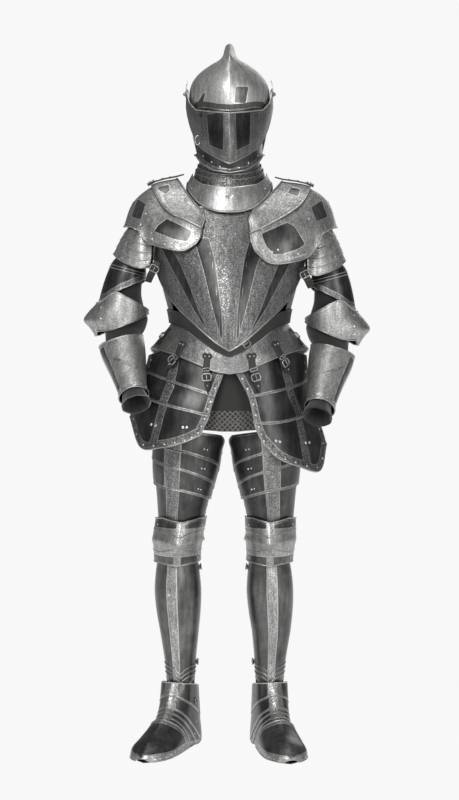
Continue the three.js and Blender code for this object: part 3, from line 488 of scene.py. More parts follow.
# ---- pieces --------------------------------------------------------------------------------------
class Piece:
    """Gathers shells, beads, rivets and straps into one mesh that stands for CAD nodes."""

    def __init__(self, name, *nodes, body="root", slot="plate_steel"):
        self.name, self.nodes, self.body, self.slot = name, nodes or (name,), body, slot
        self.v, self.f, self.m, self.smooth, self.count = [], [], [], [], 0
        self.att = {"etch": [], "rim": [], "line": [], "tone": [], "plain": []}
        self.uv = []
        self.outer = None

    def add(self, pts, faces, mat=0, uv=None, etch=50.0, rim=50.0, near=50.0, smooth=True, tone=1.0,
            plain=0.0):
        pts = np.asarray(pts, float).reshape(-1, 3)
        n = len(pts)
        self.v.append(pts)
        faces = [tuple(int(i) + self.count for i in f) for f in faces]
        self.f += faces
        self.m += [mat] * len(faces)
        self.smooth += [smooth] * len(faces)
        for key, val in (("etch", etch), ("rim", rim), ("line", near), ("tone", tone), ("plain", plain)):
            self.att[key].append(np.broadcast_to(np.asarray(val, float), (n,)))
        self.uv.append(np.zeros((n, 2)) if uv is None else uv)
        self.count += n
        return self

    def shell(self, surf, cols, top, bottom, rows, lift=0.0, wall=2.0, ring=False, mat=0, paint=None,
              bead=(0, 0), bead_sides=0, tone=1.0, plain=0.0):
        """cols, rows: 1-D arrays; top, bottom: functions of column; paint(g) gives etch and line."""
        cols, rows = np.asarray(cols, float), np.asarray(rows, float)
        a, b = top(cols), bottom(cols)
        T, C = np.meshgrid(rows, cols, indexing="ij")
        S = a[None] + (b - a)[None] * T
        P, N = surf.point(C, S), surf.normal(C, S)
        lf = lift(T, C) if callable(lift) else np.full(T.shape, float(lift))
        inner, outer = P + N * lf[..., None], P + N * (lf + wall)[..., None]
        R, K = T.shape
        if ring:
            edge = [outer[0], outer[-1]]
        else:
            edge = [outer[0], outer[-1], outer[:, 0], outer[:, -1]]
        flat = outer.reshape(-1, 3)
        dist = [np.full(len(flat), 1e9) for _ in edge]
        for k, e in enumerate(edge):
            pts = e[:: max(1, len(e) // 120)]
            pts = np.vstack([pts, (pts[:-1] + pts[1:]) / 2])
            for j in range(0, len(flat), 4000):
                d = ((flat[j:j + 4000, None] - pts[None]) ** 2).sum(-1).min(1)
                dist[k][j:j + 4000] = np.sqrt(d)
        dist += [np.full(len(flat), 1e9)] * (4 - len(dist))
        du = np.zeros((R, K))
        du[:, 1:] = np.cumsum(np.linalg.norm(np.diff(outer, axis=1), axis=-1), 1)
        dv = np.zeros((R, K))
        dv[1:] = np.cumsum(np.linalg.norm(np.diff(outer, axis=0), axis=-1), 0)
        du -= du[:, K // 2][:, None]
        uv = np.stack([du.ravel(), dv.ravel()], -1) / 1000
        g = dict(p=flat, n=N.reshape(-1, 3), c=C.ravel(), s=S.ravel(), t=T.ravel(), top=dist[0],
                bottom=dist[1],
                 left=dist[2], right=dist[3], edge=np.min(dist,
                         0), uv=front(flat), u=du.ravel(), w=dv.ravel())
        etch, near = paint(g) if paint else (np.full(len(flat), 50.0), np.full(len(flat), 50.0))
        quads = []
        wrapped = K if ring else K - 1
        for r in range(R - 1):
            for c in range(wrapped):
                i, j = r * K + c, r * K + (c + 1) % K
                quads.append((i, j, j + K, i + K))
        mid = (R // 2, K // 2)
        o0 = outer[mid]
        across = outer[mid[0], mid[1] + 1 if mid[1] + 1 < K else mid[1] - 1] - o0
        down = outer[mid[0] + 1, mid[1]] - o0 if mid[0] + 1 < R else o0 - outer[mid[0] - 1, mid[1]]
        flip = np.dot(np.cross(across, down), N[mid]) < 0
        outq = [q[::-1] for q in quads] if flip else quads
        inq = quads if flip else [q[::-1] for q in quads]
        self.add(flat, outq, mat, uv, etch, g["edge"], near, tone=tone, plain=plain)
        self.outer = (flat, N.reshape(-1, 3), front(flat), self.outer)
        self.add(inner.reshape(-1, 3), inq, mat, uv, -50.0, 50.0, 50.0, tone=0.6)
        # side walls join the two faces
        base_o, base_i = self.count - 2 * R * K, self.count - R * K
        def wall_run(ids):
            for x, y in zip(ids[:-1], ids[1:]):
                f = (base_o + x, base_o + y, base_i + y, base_i + x)
                self.f.append(f)
                self.m.append(mat)
                self.smooth.append(False)
        ringed = list(range(K)) + ([0] if ring else [])
        wall_run(ringed[::-1])
        wall_run([(R - 1) * K + x for x in ringed])
        if not ring:
            wall_run([r * K for r in range(R)])
            wall_run([r * K + K - 1 for r in range(R)][::-1])
        # rolled beads along top and bottom edges
        for radius, row in ((bead[0], 0), (bead[1], R - 1)):
            if radius:
                run = (outer[row] + inner[row]) / 2 + N[row] * 0.4
                self.bead(run, radius, closed=ring)
        if bead_sides:
            self.bead((outer[:, 0] + inner[:, 0]) / 2, bead_sides)
            self.bead((outer[:, -1] + inner[:, -1]) / 2, bead_sides)
        return self

    def bead(self, run, radius, closed=False, mat=1, sides=8):
        """A rolled rim along a run of points."""
        run = np.asarray(run, float)
        seg = np.linalg.norm(np.diff(run, axis=0), axis=1)
        keep = np.concatenate([[True], seg > 0.2])
        run = run[keep]
        n = len(run)
        if n < 3:
            return self
        prev = np.roll(run, 1, 0) if closed else np.vstack([run[:1], run[:-1]])
        nxt = np.roll(run, -1, 0) if closed else np.vstack([run[1:], run[-1:]])
        tan = unit(nxt - prev)
        ref = np.tile([0.0, 0.0, 1.0], (n, 1))
        ref[np.abs(tan[:, 2]) > 0.9] = [0, 1.0, 0]
        s1 = unit(np.cross(tan, ref))
        s2 = np.cross(tan, s1)
        ang = np.linspace(0, 2 * math.pi, sides, endpoint=False)
        ring = run[:, None] + radius * (s1[:, None] * np.cos(ang)[None, :, None] + s2[:,
                None] * np.sin(ang)[None, :, None])
        faces = []
        for i in range(n if closed else n - 1):
            for j in range(sides):
                a, b = i * sides + j, i * sides + (j + 1) % sides
                c, d = ((i + 1) % n) * sides + (j + 1) % sides, ((i + 1) % n) * sides + j
                faces.append((a, b, c, d))
        if not closed:
            faces.append(tuple(range(sides))[::-1])
            faces.append(tuple((n - 1) * sides + j for j in range(sides)))
        return self.add(ring.reshape(-1, 3), faces, mat)

    def dome(self, p, n, r, high=0.55, mat=6, rings=3, sides=10):
        n = unit(np.asarray(n, float))
        ref = np.array([0, 0, 1.0]) if abs(n[2]) < 0.8 else np.array([1.0, 0, 0])
        a = unit(np.cross(ref, n))
        b = np.cross(n, a)
        pts, faces = [], []
        for i in range(rings):
            q = i / rings * math.pi / 2
            for j in range(sides):
                w = 2 * math.pi * j / sides
                around = a * math.cos(w) + b * math.sin(w)
                pts.append(p + r * math.cos(q) * around + n * (r * high * math.sin(q)))
        pts.append(p + n * r * high)
        for i in range(rings - 1):
            for j in range(sides):
                x, y = i * sides + j, i * sides + (j + 1) % sides
                faces.append((x, y, y + sides, x + sides))
        k = (rings - 1) * sides
        for j in range(sides):
            faces.append((k + j, k + (j + 1) % sides, rings * sides))
        faces.append(tuple(range(sides))[::-1])
        return self.add(np.array(pts), faces, mat)

    def find(self, u, v):
        """The outer surface point seen at that place in the front view, and its normal."""
        best = None
        o = self.outer
        while o:
            flat, nor, uv, nxt = o
            ok = nor[:, 1] < -0.02
            d = np.where(ok, (uv[:, 0] - u) ** 2 + (uv[:, 1] - v) ** 2, 1e9)
            i = int(d.argmin())
            if best is None or d[i] < best[0] - 1e-6:
                p = flat[i].copy()
                dx, dz = (u - uv[i, 0]) * POINT_MM, -(v - uv[i, 1]) * POINT_MM
                n = nor[i]
                ny = min(n[1], -0.25)
                best = (d[i], p + [dx, -(n[0] * dx + n[2] * dz) / ny, dz], n)
            o = nxt
        return best[1], best[2]

    def rivets(self, places, r=3.0, mat=6, high=0.5):
        for u, v in places:
            p, n = self.find(u, v)
            self.dome(p - n * 0.3, n, r, high, mat)
        return self

    def rivets_at(self, surf, places, lift, r=3.0, mat=6):
        for c, s in places:
            p, n = surf.point(c, s), surf.normal(c, s)
            self.dome(p + n * lift, n, r, 0.5, mat)
        return self

    def band(self, run, outs, half, thick, mat=3, lift=0.0):
        """A flat strap along points with outward directions."""
        run, outs = np.asarray(run, float), unit(np.asarray(outs, float))
        n = len(run)
        half = np.broadcast_to(half, (n,))
        tan = unit(np.gradient(run, axis=0))
        side = unit(np.cross(tan, outs))
        prof = [(-1, 0), (-1, 0.7), (-0.86, 1), (0.86, 1), (1, 0.7), (1, 0)]
        pts = np.stack([run + side * (half * a)[:, None] + outs * (lift + thick * h) for a, h in prof], 1)
        k = len(prof)
        faces = []
        for i in range(n - 1):
            for j in range(k):
                a, b = i * k + j, i * k + (j + 1) % k
                faces.append((a, a + k, b + k, b))
        faces.append(tuple(range(k)))
        faces.append(tuple((n - 1) * k + j for j in range(k))[::-1])
        return self.add(pts.reshape(-1, 3), faces, mat, smooth=False)

    def buckle(self, p, n, along_dir, w, h, r=1.6, mat=1):
        n, t = unit(np.asarray(n, float)), unit(np.asarray(along_dir, float))
        t = unit(t - n * (t @ n))
        s = np.cross(t, n)
        ang = np.linspace(0, 2 * math.pi, 20, endpoint=False)
        e = 0.55
        cx = np.sign(np.cos(ang)) * np.abs(np.cos(ang)) ** e
        cy = np.sign(np.sin(ang)) * np.abs(np.sin(ang)) ** e
        run = p + n * r + s * (cx * w)[:, None] + t * (cy * h)[:, None]
        self.bead(run, r, closed=True, mat=mat, sides=6)
        self.bead(np.array([p + n * r * 1.2 - t * h, p + n * (r * 2.2), p + n * r * 1.6 + t * h]), r * 0.7,
                mat=mat, sides=6)
        return self

    def make(self):
        v = (np.vstack(self.v) + CENTRE) / 1000
        me = bpy.data.meshes.new(self.name)
        me.from_pydata(v.tolist(), [], self.f)
        for m in MATERIALS:
            me.materials.append(m)
        me.polygons.foreach_set("material_index", np.array(self.m, np.int32))
        me.polygons.foreach_set("use_smooth", np.array(self.smooth, bool))
        for key, parts in self.att.items():
            a = me.attributes.new(key, "FLOAT", "POINT")
            a.data.foreach_set("value", np.concatenate(parts).astype(np.float32))
        uv = np.vstack(self.uv)
        layer = me.uv_layers.new(name="UVMap")
        idx = np.empty(len(me.loops), np.int32)
        me.loops.foreach_get("vertex_index", idx)
        layer.data.foreach_set("uv", uv[idx].astype(np.float32).ravel())
        me.update()
        me.validate()
        o = bpy.data.objects.new(self.name, me)
        bpy.context.collection.objects.link(o)
        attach(o, self.body)
        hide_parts(*self.nodes)
        return o


# ---- helmet --------------------------------------------------------------------------------------
SKULL = Form("z a f b n kf kb", [
    (1753.4, 0, 0, 0, 1.5, 0, 0), (1749, 8, 24, 28, 1.5, 0, 0), (1738, 12.5, 58, 66, 1.4, 0, 0),
    (1722, 17, 84, 95, 1.35, 0, 0), (1710, 28, 96, 108, 1.45, 0, 0), (1700, 46, 103, 115, 1.6, 0, 0),
    (1683, 70, 108, 120, 1.8, 2, 2), (1667, 85.5, 111, 122, 1.9, 5, 4), (1649, 95.3, 115, 124, 2, 6, 5),
    (1629, 99.6, 118, 124, 2, 6, 5), (1603, 100, 118, 122, 2, 6, 4), (1578, 98, 116, 117, 2, 5, 4),
    (1540, 92, 112, 108, 2, 3, 3), (1500, 86, 104, 100, 2, 0, 2), (1475, 88, 104, 104, 2, 0, 0)], 24)
FACE = Form("z a f b n kf", [
    (1650, 106, 122, 100, 2, 0), (1628, 107.5, 126, 100, 2, 2), (1603, 108, 130, 100, 2, 6),
    (1585, 106, 134, 100, 2, 8), (1560, 101.5, 141, 100, 1.95, 9), (1540, 97, 147, 100, 1.9, 10),
    (1514, 90.5, 151, 100, 1.9, 10), (1496, 85, 151, 100, 1.9, 9), (1470, 78, 148, 100, 1.9, 8),
    (1445, 72, 142, 100, 1.9, 6)], 30)
CHIN = Form("z a f b n kf", [
    (1560, 90, 122, 100, 2, 4), (1520, 84, 134, 96, 2, 5), (1490, 81, 137, 94, 2, 4),
    (1465, 80.5, 132, 94, 2, 2), (1445, 82, 126, 94, 2, 0), (1425, 84, 122, 94, 2, 0)], 30)
FAR = 50.0


def full(g, v=FAR):
    return np.full(len(g["p"]), float(v))


def mirror(poly):
    return [(IMAGE[0] - x, y) for x, y in poly]


def panels(g, dark, both=True):
    """Bright everywhere except inside the dark panels."""
    e = full(g, 99.0)
    for poly in dark:
        e = np.minimum(e, -inside(g["uv"], poly))
        if both:
            e = np.minimum(e, -inside(g["uv"], mirror(poly)))
    return e


def skull_paint(g):
    c = np.abs(wrap(g["c"]))
    back = c > 100
    x, z = g["p"][:, 0], g["p"][:, 2]
    e = panels(g, [[(235.5, 86), (249, 86.5), (246, 103.5), (234, 103)],
            [(203, 93), (206, 91), (203, 104), (196, 104)]],
               both=False)
    e = np.where(back, np.minimum(30 - np.abs(x), 99), e)
    band = np.abs(g["bottom"] - 11)
    valley = np.abs(np.abs(x) - (11 + np.clip((1722 - z) / 150, 0, 1) * 2))
    near = np.minimum(band, np.where(z < 1722, valley, FAR))
    return e, near


HOLE, SIDES = 2, 16      # material and corners of a punched hole


def dark_at(piece, places, r, tall=1.0):
    """Small dark discs that stand for holes, at places of the front view."""
    ang = np.linspace(0, 2 * math.pi, SIDES, endpoint=False)
    walls = [(i, i + SIDES, (i + 1) % SIDES + SIDES, (i + 1) % SIDES) for i in range(SIDES)]
    for u, v in places:
        p, n = piece.find(u, v)
        a = unit(np.cross([0, 0, 1.0], n))
        t = np.cross(n, a)
        ring = p + n * 0.35 + r * (a * np.cos(ang)[:, None] + t * tall * np.sin(ang)[:, None])
        piece.add(np.vstack([ring, ring - n * 1.2]), [tuple(range(SIDES))] + walls, HOLE, smooth=False)


skull = Piece("skull", "helmet_skull")
skull_edge = even([[0, 1579], [18, 1582], [36, 1588], [54, 1590], [72, 1565], [90, 1520], [108, 1490],
                   [126, 1476], [180, 1466]])
skull.shell(SKULL, np.arange(-180, 180, 3.0), const(1753.4), lambda c: skull_edge(wrap(c)),
            np.concatenate([np.linspace(0, 0.2, 20)[:-1], np.linspace(0.2, 1, 44)]), -2.0, ring=True,
            paint=skull_paint, tone=1.9, plain=0.7, bead=(0, 2.2))
# brow band, its rivets, the pivots with their pointed tabs
brow = []
for k in np.linspace(-84, 84, 60):
    brow.append((k, float(skull_edge(k)) + 9))
bp = np.array([SKULL.point(c, s) + SKULL.normal(c, s) * 0.2 for c, s in brow])
bn = np.array([SKULL.normal(c, s) for c, s in brow])
skull.band(bp, bn, 6.0, 1.6, mat=0)
skull.rivets([(205, 106.8), (217, 107.6), (241, 107.6), (254, 106.6)], 2.2)
for x in (-1, 1):
    c = np.array([x * 107.5, -5.0, 1628.0])
    skull.dome(c, [x, 0, 0], 8.5, 0.35, mat=1, sides=16)
    skull.dome(c + [x * 2.5, 0, 0], [x, 0, 0], 5.0, 1.0, mat=1, sides=14)
    tab = np.array([[x * 105.5, -5, 1622], [x * 106, -5, 1640], [x * 104.5, -5, 1651], [x * 101.5, -5, 1662]])
    skull.band(tab, np.tile([x, 0, 0.15], (4, 1)), np.array([6.5, 6.0, 3.6, 0.4]), 2.2, mat=1)
# plume holder at the nape
skull.band(np.array([[0, 123.5, 1600], [0, 124.5, 1570], [0, 117, 1540]]), np.tile([0, 1.0, 0], (3, 1)),
        8.0, 3.0, mat=1)
skull.make()

visor = Piece("visor", "helmet_visor", body="visor")
visor_top = even([[0, 1572], [24, 1577], [52, 1585], [66, 1603], [80, 1634], [92, 1642], [104, 1638]])
visor_low = even([[0, 1450], [12, 1456], [24, 1464], [38, 1475], [52, 1487], [66, 1504], [80, 1545],
                  [92, 1596], [104, 1618]])


def visor_paint(g):
    e = panels(g, [[(206.5, 114), (223.5, 112), (223.5, 151), (209, 145)],
            [(235.5, 112), (251, 112), (250, 144), (236, 151)]],
               both=False)
    strip = near_line(g["uv"], [(209, 149), (223, 156.5), (229.5, 160), (236, 156.5), (250, 148.5)])
    mid = np.abs(g["p"][:, 0]) - 9
    near = np.minimum(np.abs(g["edge"] - 7), np.minimum(strip,
            np.abs(mid) + np.where(g["uv"][:, 1] < 150, 0, 60)))
    return e, near


visor.shell(FACE, fine(-104, 104, 2.5, 260), visor_top, visor_low, np.linspace(0, 1, 44), -2.0,
            paint=visor_paint, tone=0.62, plain=0.5, bead=(2.0, 1.6))
visor.rivets([(197, 151), (263, 147.5)], 3.4, mat=2)
dark_at(visor, [(222, 118), (213.5, 137), (246.5, 133.5)], 2.2)
dark_at(visor, [(201.2, 115)], 5.0, 1.2)
dark_at(visor, [(202 + 3.2 * i + (j % 2) * 1.5, 125 + 3.6 * j) for i in range(3) for j in range(5)], 1.5)
p0, n0 = visor.find(198.8, 140)
ang = np.linspace(0, 2 * math.pi, 24, endpoint=False)
visor.bead(p0 + n0 * 3 + np.stack([6.5 * np.cos(ang), 0 * ang, 11 * np.sin(ang)], -1), 1.8, closed=True)
visor.make()

bevor = Piece("bevor", "helmet_bevor")
bevor_top = even([[0, 1530], [54, 1535], [81, 1545], [108, 1545]])
bevor_low = even([[0, 1431], [27, 1438], [54, 1458], [70, 1474], [81, 1478], [108, 1480]])


def bevor_lift(T, C):
    return np.interp(T, [0, 0.75, 0.93, 1], [-2, -2, -1, 4])


def bevor_paint(g):
    return 9 - g["bottom"], np.abs(g["bottom"] - 9)


bevor.shell(CHIN, fine(-108, 108, 3.5, 300), bevor_top, bevor_low, np.linspace(0, 1, 26), bevor_lift,
            paint=bevor_paint, tone=0.7, plain=0.5, bead=(0, 2.6))
bevor.rivets([(203, 156), (211.6, 162), (220, 167), (229.5, 169.7), (239, 168), (248.6, 163),
        (257.6, 155.6)], 2.8)
bevor.make()

# ---- gorget --------------------------------------------------------------------------------------
NECK = Form("z a f b", [(1485, 69, 88, 80), (1470, 71.5, 91, 84), (1450, 75, 96, 89), (1430, 79, 101, 94),
                        (1405, 86, 107, 100), (1382, 93, 112, 106)])
for i, (t0, t1, t2, l0, l1, l2) in enumerate([(1450, 1474, 1470, 1419, 1452, 1446),
                                              (1426, 1457, 1452, 1406, 1440, 1434),
                                              (1413, 1445, 1440, 1384, 1424, 1414)]):
    lame = Piece(f"collar_lame_{i + 1}", f"gorget_lame_{i + 1}")
    lame.shell(NECK, np.arange(-180, 180, 4.0), dip(t0, t1, t2), dip(l0, l1, l2), np.linspace(0, 1, 8),
            i * 3.0,
               ring=True, paint=lambda g: (full(g),
                       np.abs(g["bottom"] - 5)), tone=0.8, bead=(1.8 if i == 0 else 0, 1.3))
    lame.rivets([[(202.5, 171.6), (256, 171)], [(199.6, 178), (259, 177.5)], [(198, 184), (261, 183.5)]][i],
            2.4)
    lame.make()
YOKE = Form("z a f b n", [(1436, 88, 114, 108, 2), (1415, 99, 121, 116, 2), (1393, 111, 128, 124, 2),
                          (1367, 124, 136, 130, 2), (1330, 140, 145, 134, 2)])
yoke = Piece("collar_front", "gorget_front")
yoke.shell(YOKE, fine(-84, 84, 3.5, 300), even([[0, 1394], [36, 1402], [60, 1419], [84, 1432]]),
           even([[0, 1334], [12, 1336], [24, 1344], [36, 1358], [48, 1374], [60, 1389], [72, 1402],
                   [84, 1409]]),
           np.linspace(0, 1, 18), 0.5, paint=lambda g: (full(g),
                   np.abs(g["bottom"] - 9)), tone=1.5, plain=0.6, bead=(0, 2.6))
yoke.rivets([(189.6, 185.7), (191.6, 188.2), (267.5, 185.7), (265.5, 188.2), (229, 190), (229, 203.5)], 2.6)
# a plain three-lobed leaf
lp, ln = yoke.find(229.4, 197)
for dx, dz, w, h in ((0, 3.5, 3.4, 8.0), (-5.6, 0.5, 3.0, 5.4), (5.6, 0.5, 3.0, 5.4), (0, -7.5, 2.0, 5.0)):
    q = lp + np.array([dx, 0, dz]) + ln * 0.2
    t = unit(np.array([dx * 0.9, 0, 6.0 if dz > -2 else -6.0]))
    run = np.array([q - t * h, q - t * h * 0.4, q, q + t * h * 0.5, q + t * h])
    yoke.band(run, np.tile(ln, (5, 1)), np.array([0.5, w * 0.8, w, w * 0.7, 0.3]), 1.3, mat=1)
yoke.make()
nape = Piece("collar_back", "gorget_back")
nape.shell(YOKE, fine(96, 264, 4, 380), line([[96, 1430], [110, 1424], [180, 1418], [250, 1424],
        [264, 1430]]),
           line([[96, 1408], [124, 1378], [152, 1346], [180, 1338], [208, 1346], [236, 1378], [264, 1408]]),
           np.linspace(0, 1, 16), 0.5, paint=lambda g: (full(g), np.abs(g["bottom"] - 9)), bead=(0, 2.6))
nape.make()

# ---- cuirass -------------------------------------------------------------------------------------
TORSO = Form("z a f b n kf", [
    (1400, 132, 92, 96, 2.2, 0), (1370, 158, 106, 110, 2.3, 0), (1340, 174, 119, 121, 2.3, 1),
    (1300, 182, 134, 129, 2.3, 2), (1250, 183, 152, 130, 2.25, 4), (1200, 176, 170, 122, 2.2, 6),
    (1150, 166, 184, 109, 2.1, 7), (1100, 153, 193, 95, 2.05, 8), (1065, 147, 196, 88, 2, 9),
    (1030, 148, 195, 88, 2, 9), (1000, 156, 190, 94, 2, 8), (975, 164, 186, 100, 2, 6)], 36)


def breast_paint(g):
    uv = g["uv"].copy()
    uv[:, 0] = np.where(uv[:, 0] > IMAGE[0] / 2, IMAGE[0] - uv[:, 0], uv[:, 0])
    a = [(203, 215), (208.8, 238), (214.6, 259), (218.8, 288), (221.7, 313), (223, 346)]
    b = [(190, 226), (197, 249), (203.8, 271.5), (210.5, 300.5), (217, 325), (221, 339.5)]
    c = [(166, 238), (179.8, 263), (189.8, 286), (198, 309), (208.8, 332), (219.6, 346)]
    d = [(160, 246), (173, 271.5), (181.5, 287), (193, 309), (206, 329.5), (220, 345)]
    first = a + b[::-1]
    second = c + d[::-1]
    e = -np.maximum(inside(uv, first), inside(uv, second))
    e = np.minimum(e, 99)
    top = 238 - uv[:, 1]
    e = np.maximum(e, np.minimum(top * POINT_MM, 99))
    near = np.minimum(np.abs(g["edge"] - 8), np.abs(near_line(uv, a) - 7))
    return e, near


breast = Piece("breast", "breastplate")
breast.shell(TORSO, fine(-84, 84, 3.2, 420),
             even([[0, 1346], [26, 1343], [39, 1331], [52, 1318], [65, 1278], [78, 1238], [84, 1226]]),
             even([[0, 1002], [12, 1022], [24, 1046], [36, 1072], [48, 1098], [60, 1128], [72, 1166],
                     [84, 1208]]),
             np.linspace(0, 1, 90), 6.3, paint=breast_paint, tone=0.8, plain=0.2, bead=(3.0,
                     2.2), bead_sides=2.6)
breast.make()


def back_paint(g):
    c = np.abs(g["c"] - 180)
    x = np.abs(g["p"][:, 0])
    e = np.minimum(16 - x, 99)
    wide = np.abs(x - (74 - (1320 - g["p"][:, 2]) * 0.14)) - 14
    e = np.maximum(e, -wide)
    e = np.maximum(e, 16 - g["edge"])
    return np.where(c > 84, full(g), e), np.abs(g["edge"] - 8)


back = Piece("back", "backplate")
back.shell(TORSO, fine(65, 295, 4, 620),
           line([[65, 1196], [84, 1240], [100, 1266], [120, 1292], [140, 1306], [160, 1316], [180, 1320],
                   [200, 1316],
                 [220, 1306], [240, 1292], [260, 1266], [276, 1240], [295, 1196]]),
           line([[65, 1084], [84, 1086], [180, 1076], [276, 1086], [295, 1084]]),
           np.linspace(0, 1, 56), -1.4, paint=back_paint, bead=(2.4, 1.8))
back.make()

belt = Piece("waist_strap", "waist_belt", slot="leather")
btop = line([[0, 1008], [13, 1029], [26, 1054], [39, 1077], [52, 1093], [65, 1097], [84, 1098], [180, 1096]])
blow = line([[0, 986], [13, 1001], [26, 1023], [39, 1044], [52, 1057], [65, 1062], [84, 1064], [180, 1062]])
belt.shell(TORSO, np.arange(-180, 180, 4.0), lambda c: btop(np.abs(wrap(c))), lambda c: blow(np.abs(wrap(c))),
           np.linspace(0, 1, 8), 2.0, wall=2.4, ring=True, mat=3)
bpn, bnn = belt.find(246, 343)
belt.buckle(bpn, bnn, [1, 0, 0.6], 11, 9)
belt.make()

# ---- fauld, culet, brayette ----------------------------------------------------------------------
HIPS = Form("z a f b n", [(1080, 140, 182, 80, 2), (1060, 147, 186, 86, 2), (1040, 162, 188, 97, 2),
                          (1015, 184, 190, 110, 2), (990, 203, 195, 120, 2), (960, 213, 198, 129, 2),
                          (935, 217, 201, 134, 2)])
skirt = Piece("fauld_plate", "fauld")
skirt.shell(HIPS, fine(-86, 86, 4, 520),
            even([[0, 994], [10, 1003], [21, 1020], [32, 1037], [45, 1053], [58, 1062], [86, 1066]]),
            even([[0, 946], [10, 952], [21, 968], [32, 982], [45, 993], [58, 999], [86, 1004]]),
            np.linspace(0, 1, 18), -2.0, paint=lambda g: (full(g),
                    np.abs(g["bottom"] - 8)), tone=1.0, plain=0.4, bead=(0, 2.2))
skirt.make()
rump = Piece("culet_plate", "culet")
rump.shell(HIPS, fine(94, 266, 5, 560), const(1066), line([[94, 1000], [120, 980], [180, 966], [240, 980],
        [266, 1000]]),
           np.linspace(0, 1, 22), -2.4,
           paint=lambda g: (np.maximum(18 - g["bottom"], -(np.abs(np.abs(g["p"][:, 0]) - 60) - 12)),
                   np.abs(g["bottom"] - 8)),
           bead=(0, 2.2))
rump.make()
LOIN = Net([
    [(-44, -150, 975), (-22, -164, 972), (0, -168, 970), (22, -164, 972), (44, -150, 975)],
    [(-56, -146, 890), (-28, -160, 890), (0, -165, 890), (28, -160, 890), (56, -146, 890)],
    [(-66, -138, 806), (-34, -152, 804), (0, -158, 803), (34, -152, 804), (66, -138, 806)]], [0, 0, 880])
apron = Piece("brayette_cloth", "brayette", slot="cloth")


def fold(T, C):
    return 1.8 * np.sin(C * 5.2 + T * 0.8) * T


def hem_paint(g):
    return inside(g["uv"], [(204, 411), (255, 411), (256, 433), (203, 433)]), full(g)


apron.shell(LOIN, np.linspace(0, 4, 44), const(0), const(2), np.linspace(0, 1, 50), fold, wall=1.6, mat=5,
            paint=hem_paint)
hem = apron.make()

# ---- tassets -------------------------------------------------------------------------------------
TASSET = {
    "R": Net([
        [(-199, -45, 984), (-152, -108, 1001), (-103, -152, 994), (-50, -176, 972), (-8, -184, 956)],
        [(-206, -56, 944), (-170, -120, 931), (-116, -164, 915), (-70, -181, 900), (-34, -186, 889)],
        [(-228, -60, 890), (-188, -128, 876), (-136, -170, 862), (-88, -184, 851), (-50, -187, 842)],
        [(-245, -52, 832), (-216, -122, 763), (-164, -168, 766), (-115, -183, 778), (-71, -187, 797)]],
        [-110, 40, 870]),
    "L": Net([
        [(190, -36, 984), (148, -108, 999), (103, -152, 990), (50, -176, 970), (11, -184, 954)],
        [(193, -30, 926), (167, -104, 912), (124, -158, 902), (80, -180, 893), (45, -186, 887)],
        [(214, -22, 848), (190, -86, 838), (148, -150, 829), (102, -180, 823), (60, -187, 825)],
        [(239, -50, 764), (220, -112, 704), (166, -162, 720), (117, -182, 742), (78, -187, 782)]],
        [110, 40, 870]),
}


def tasset_paint(last):
    def paint(g):
        side = np.minimum(g["left"], g["right"])
        border = 15 - side
        strip = 10 - np.abs((g["c"] - 1.55) * 62)
        e = np.maximum(border, strip)
        if last:
            e = np.maximum(e, 17 - g["bottom"])
        e = np.maximum(e, 5 - g["bottom"])
        return e, np.abs(np.minimum(side, g["bottom"] if last else side) - 4.5)
    return paint


for side in "RL":
    for i in range(3):
        p = Piece(f"tasset_plate_{side}_{i + 1}", f"tasset_{side}_{i + 1}")
        a = max(0, i - 0.14)
        p.shell(TASSET[side], np.linspace(0, 4, 62), const(a), const(i + 1),
                np.linspace(0, 1, 22 if i < 2 else 30),
                (lambda T, C: 4.0 * T - 0.4) if i < 2 else -0.4, paint=tasset_paint(i == 2),
                tone=0.8, bead=(0, 2.4 if i == 2 else 1.3), bead_sides=2.0 if i == 2 else 0)
        lift = (lambda t: 4.0 * t + 1.6) if i < 2 else (lambda t: 1.6)
        spots = []
        for c in (0.22, 3.8):
            for t in ((0.35, 0.7) if i < 2 else (0.25, 0.55, 0.85)):
                spots.append((c, t))
        if i == 2:
            spots += [(c, 0.94) for c in (0.6, 1.1, 1.6, 2.1, 2.6, 3.1, 3.5)]
        for c, t in spots:
            s = a + (i + 1 - a) * t
            q, n = TASSET[side].point(c, s), TASSET[side].normal(c, s)
            p.dome(q + n * lift(t), n, 2.6, 0.5)
        if i == 2:
            for c in (1.25, 1.45, 2.75, 2.95):
                q, n = TASSET[side].point(c, 2.5), TASSET[side].normal(c, 2.5)
                p.dome(q + n * 1.4, n, 4.2, 0.5)
        p.make()


def across(surf, c, s, lift):
    return surf.point(c, s) + surf.normal(c, s) * lift


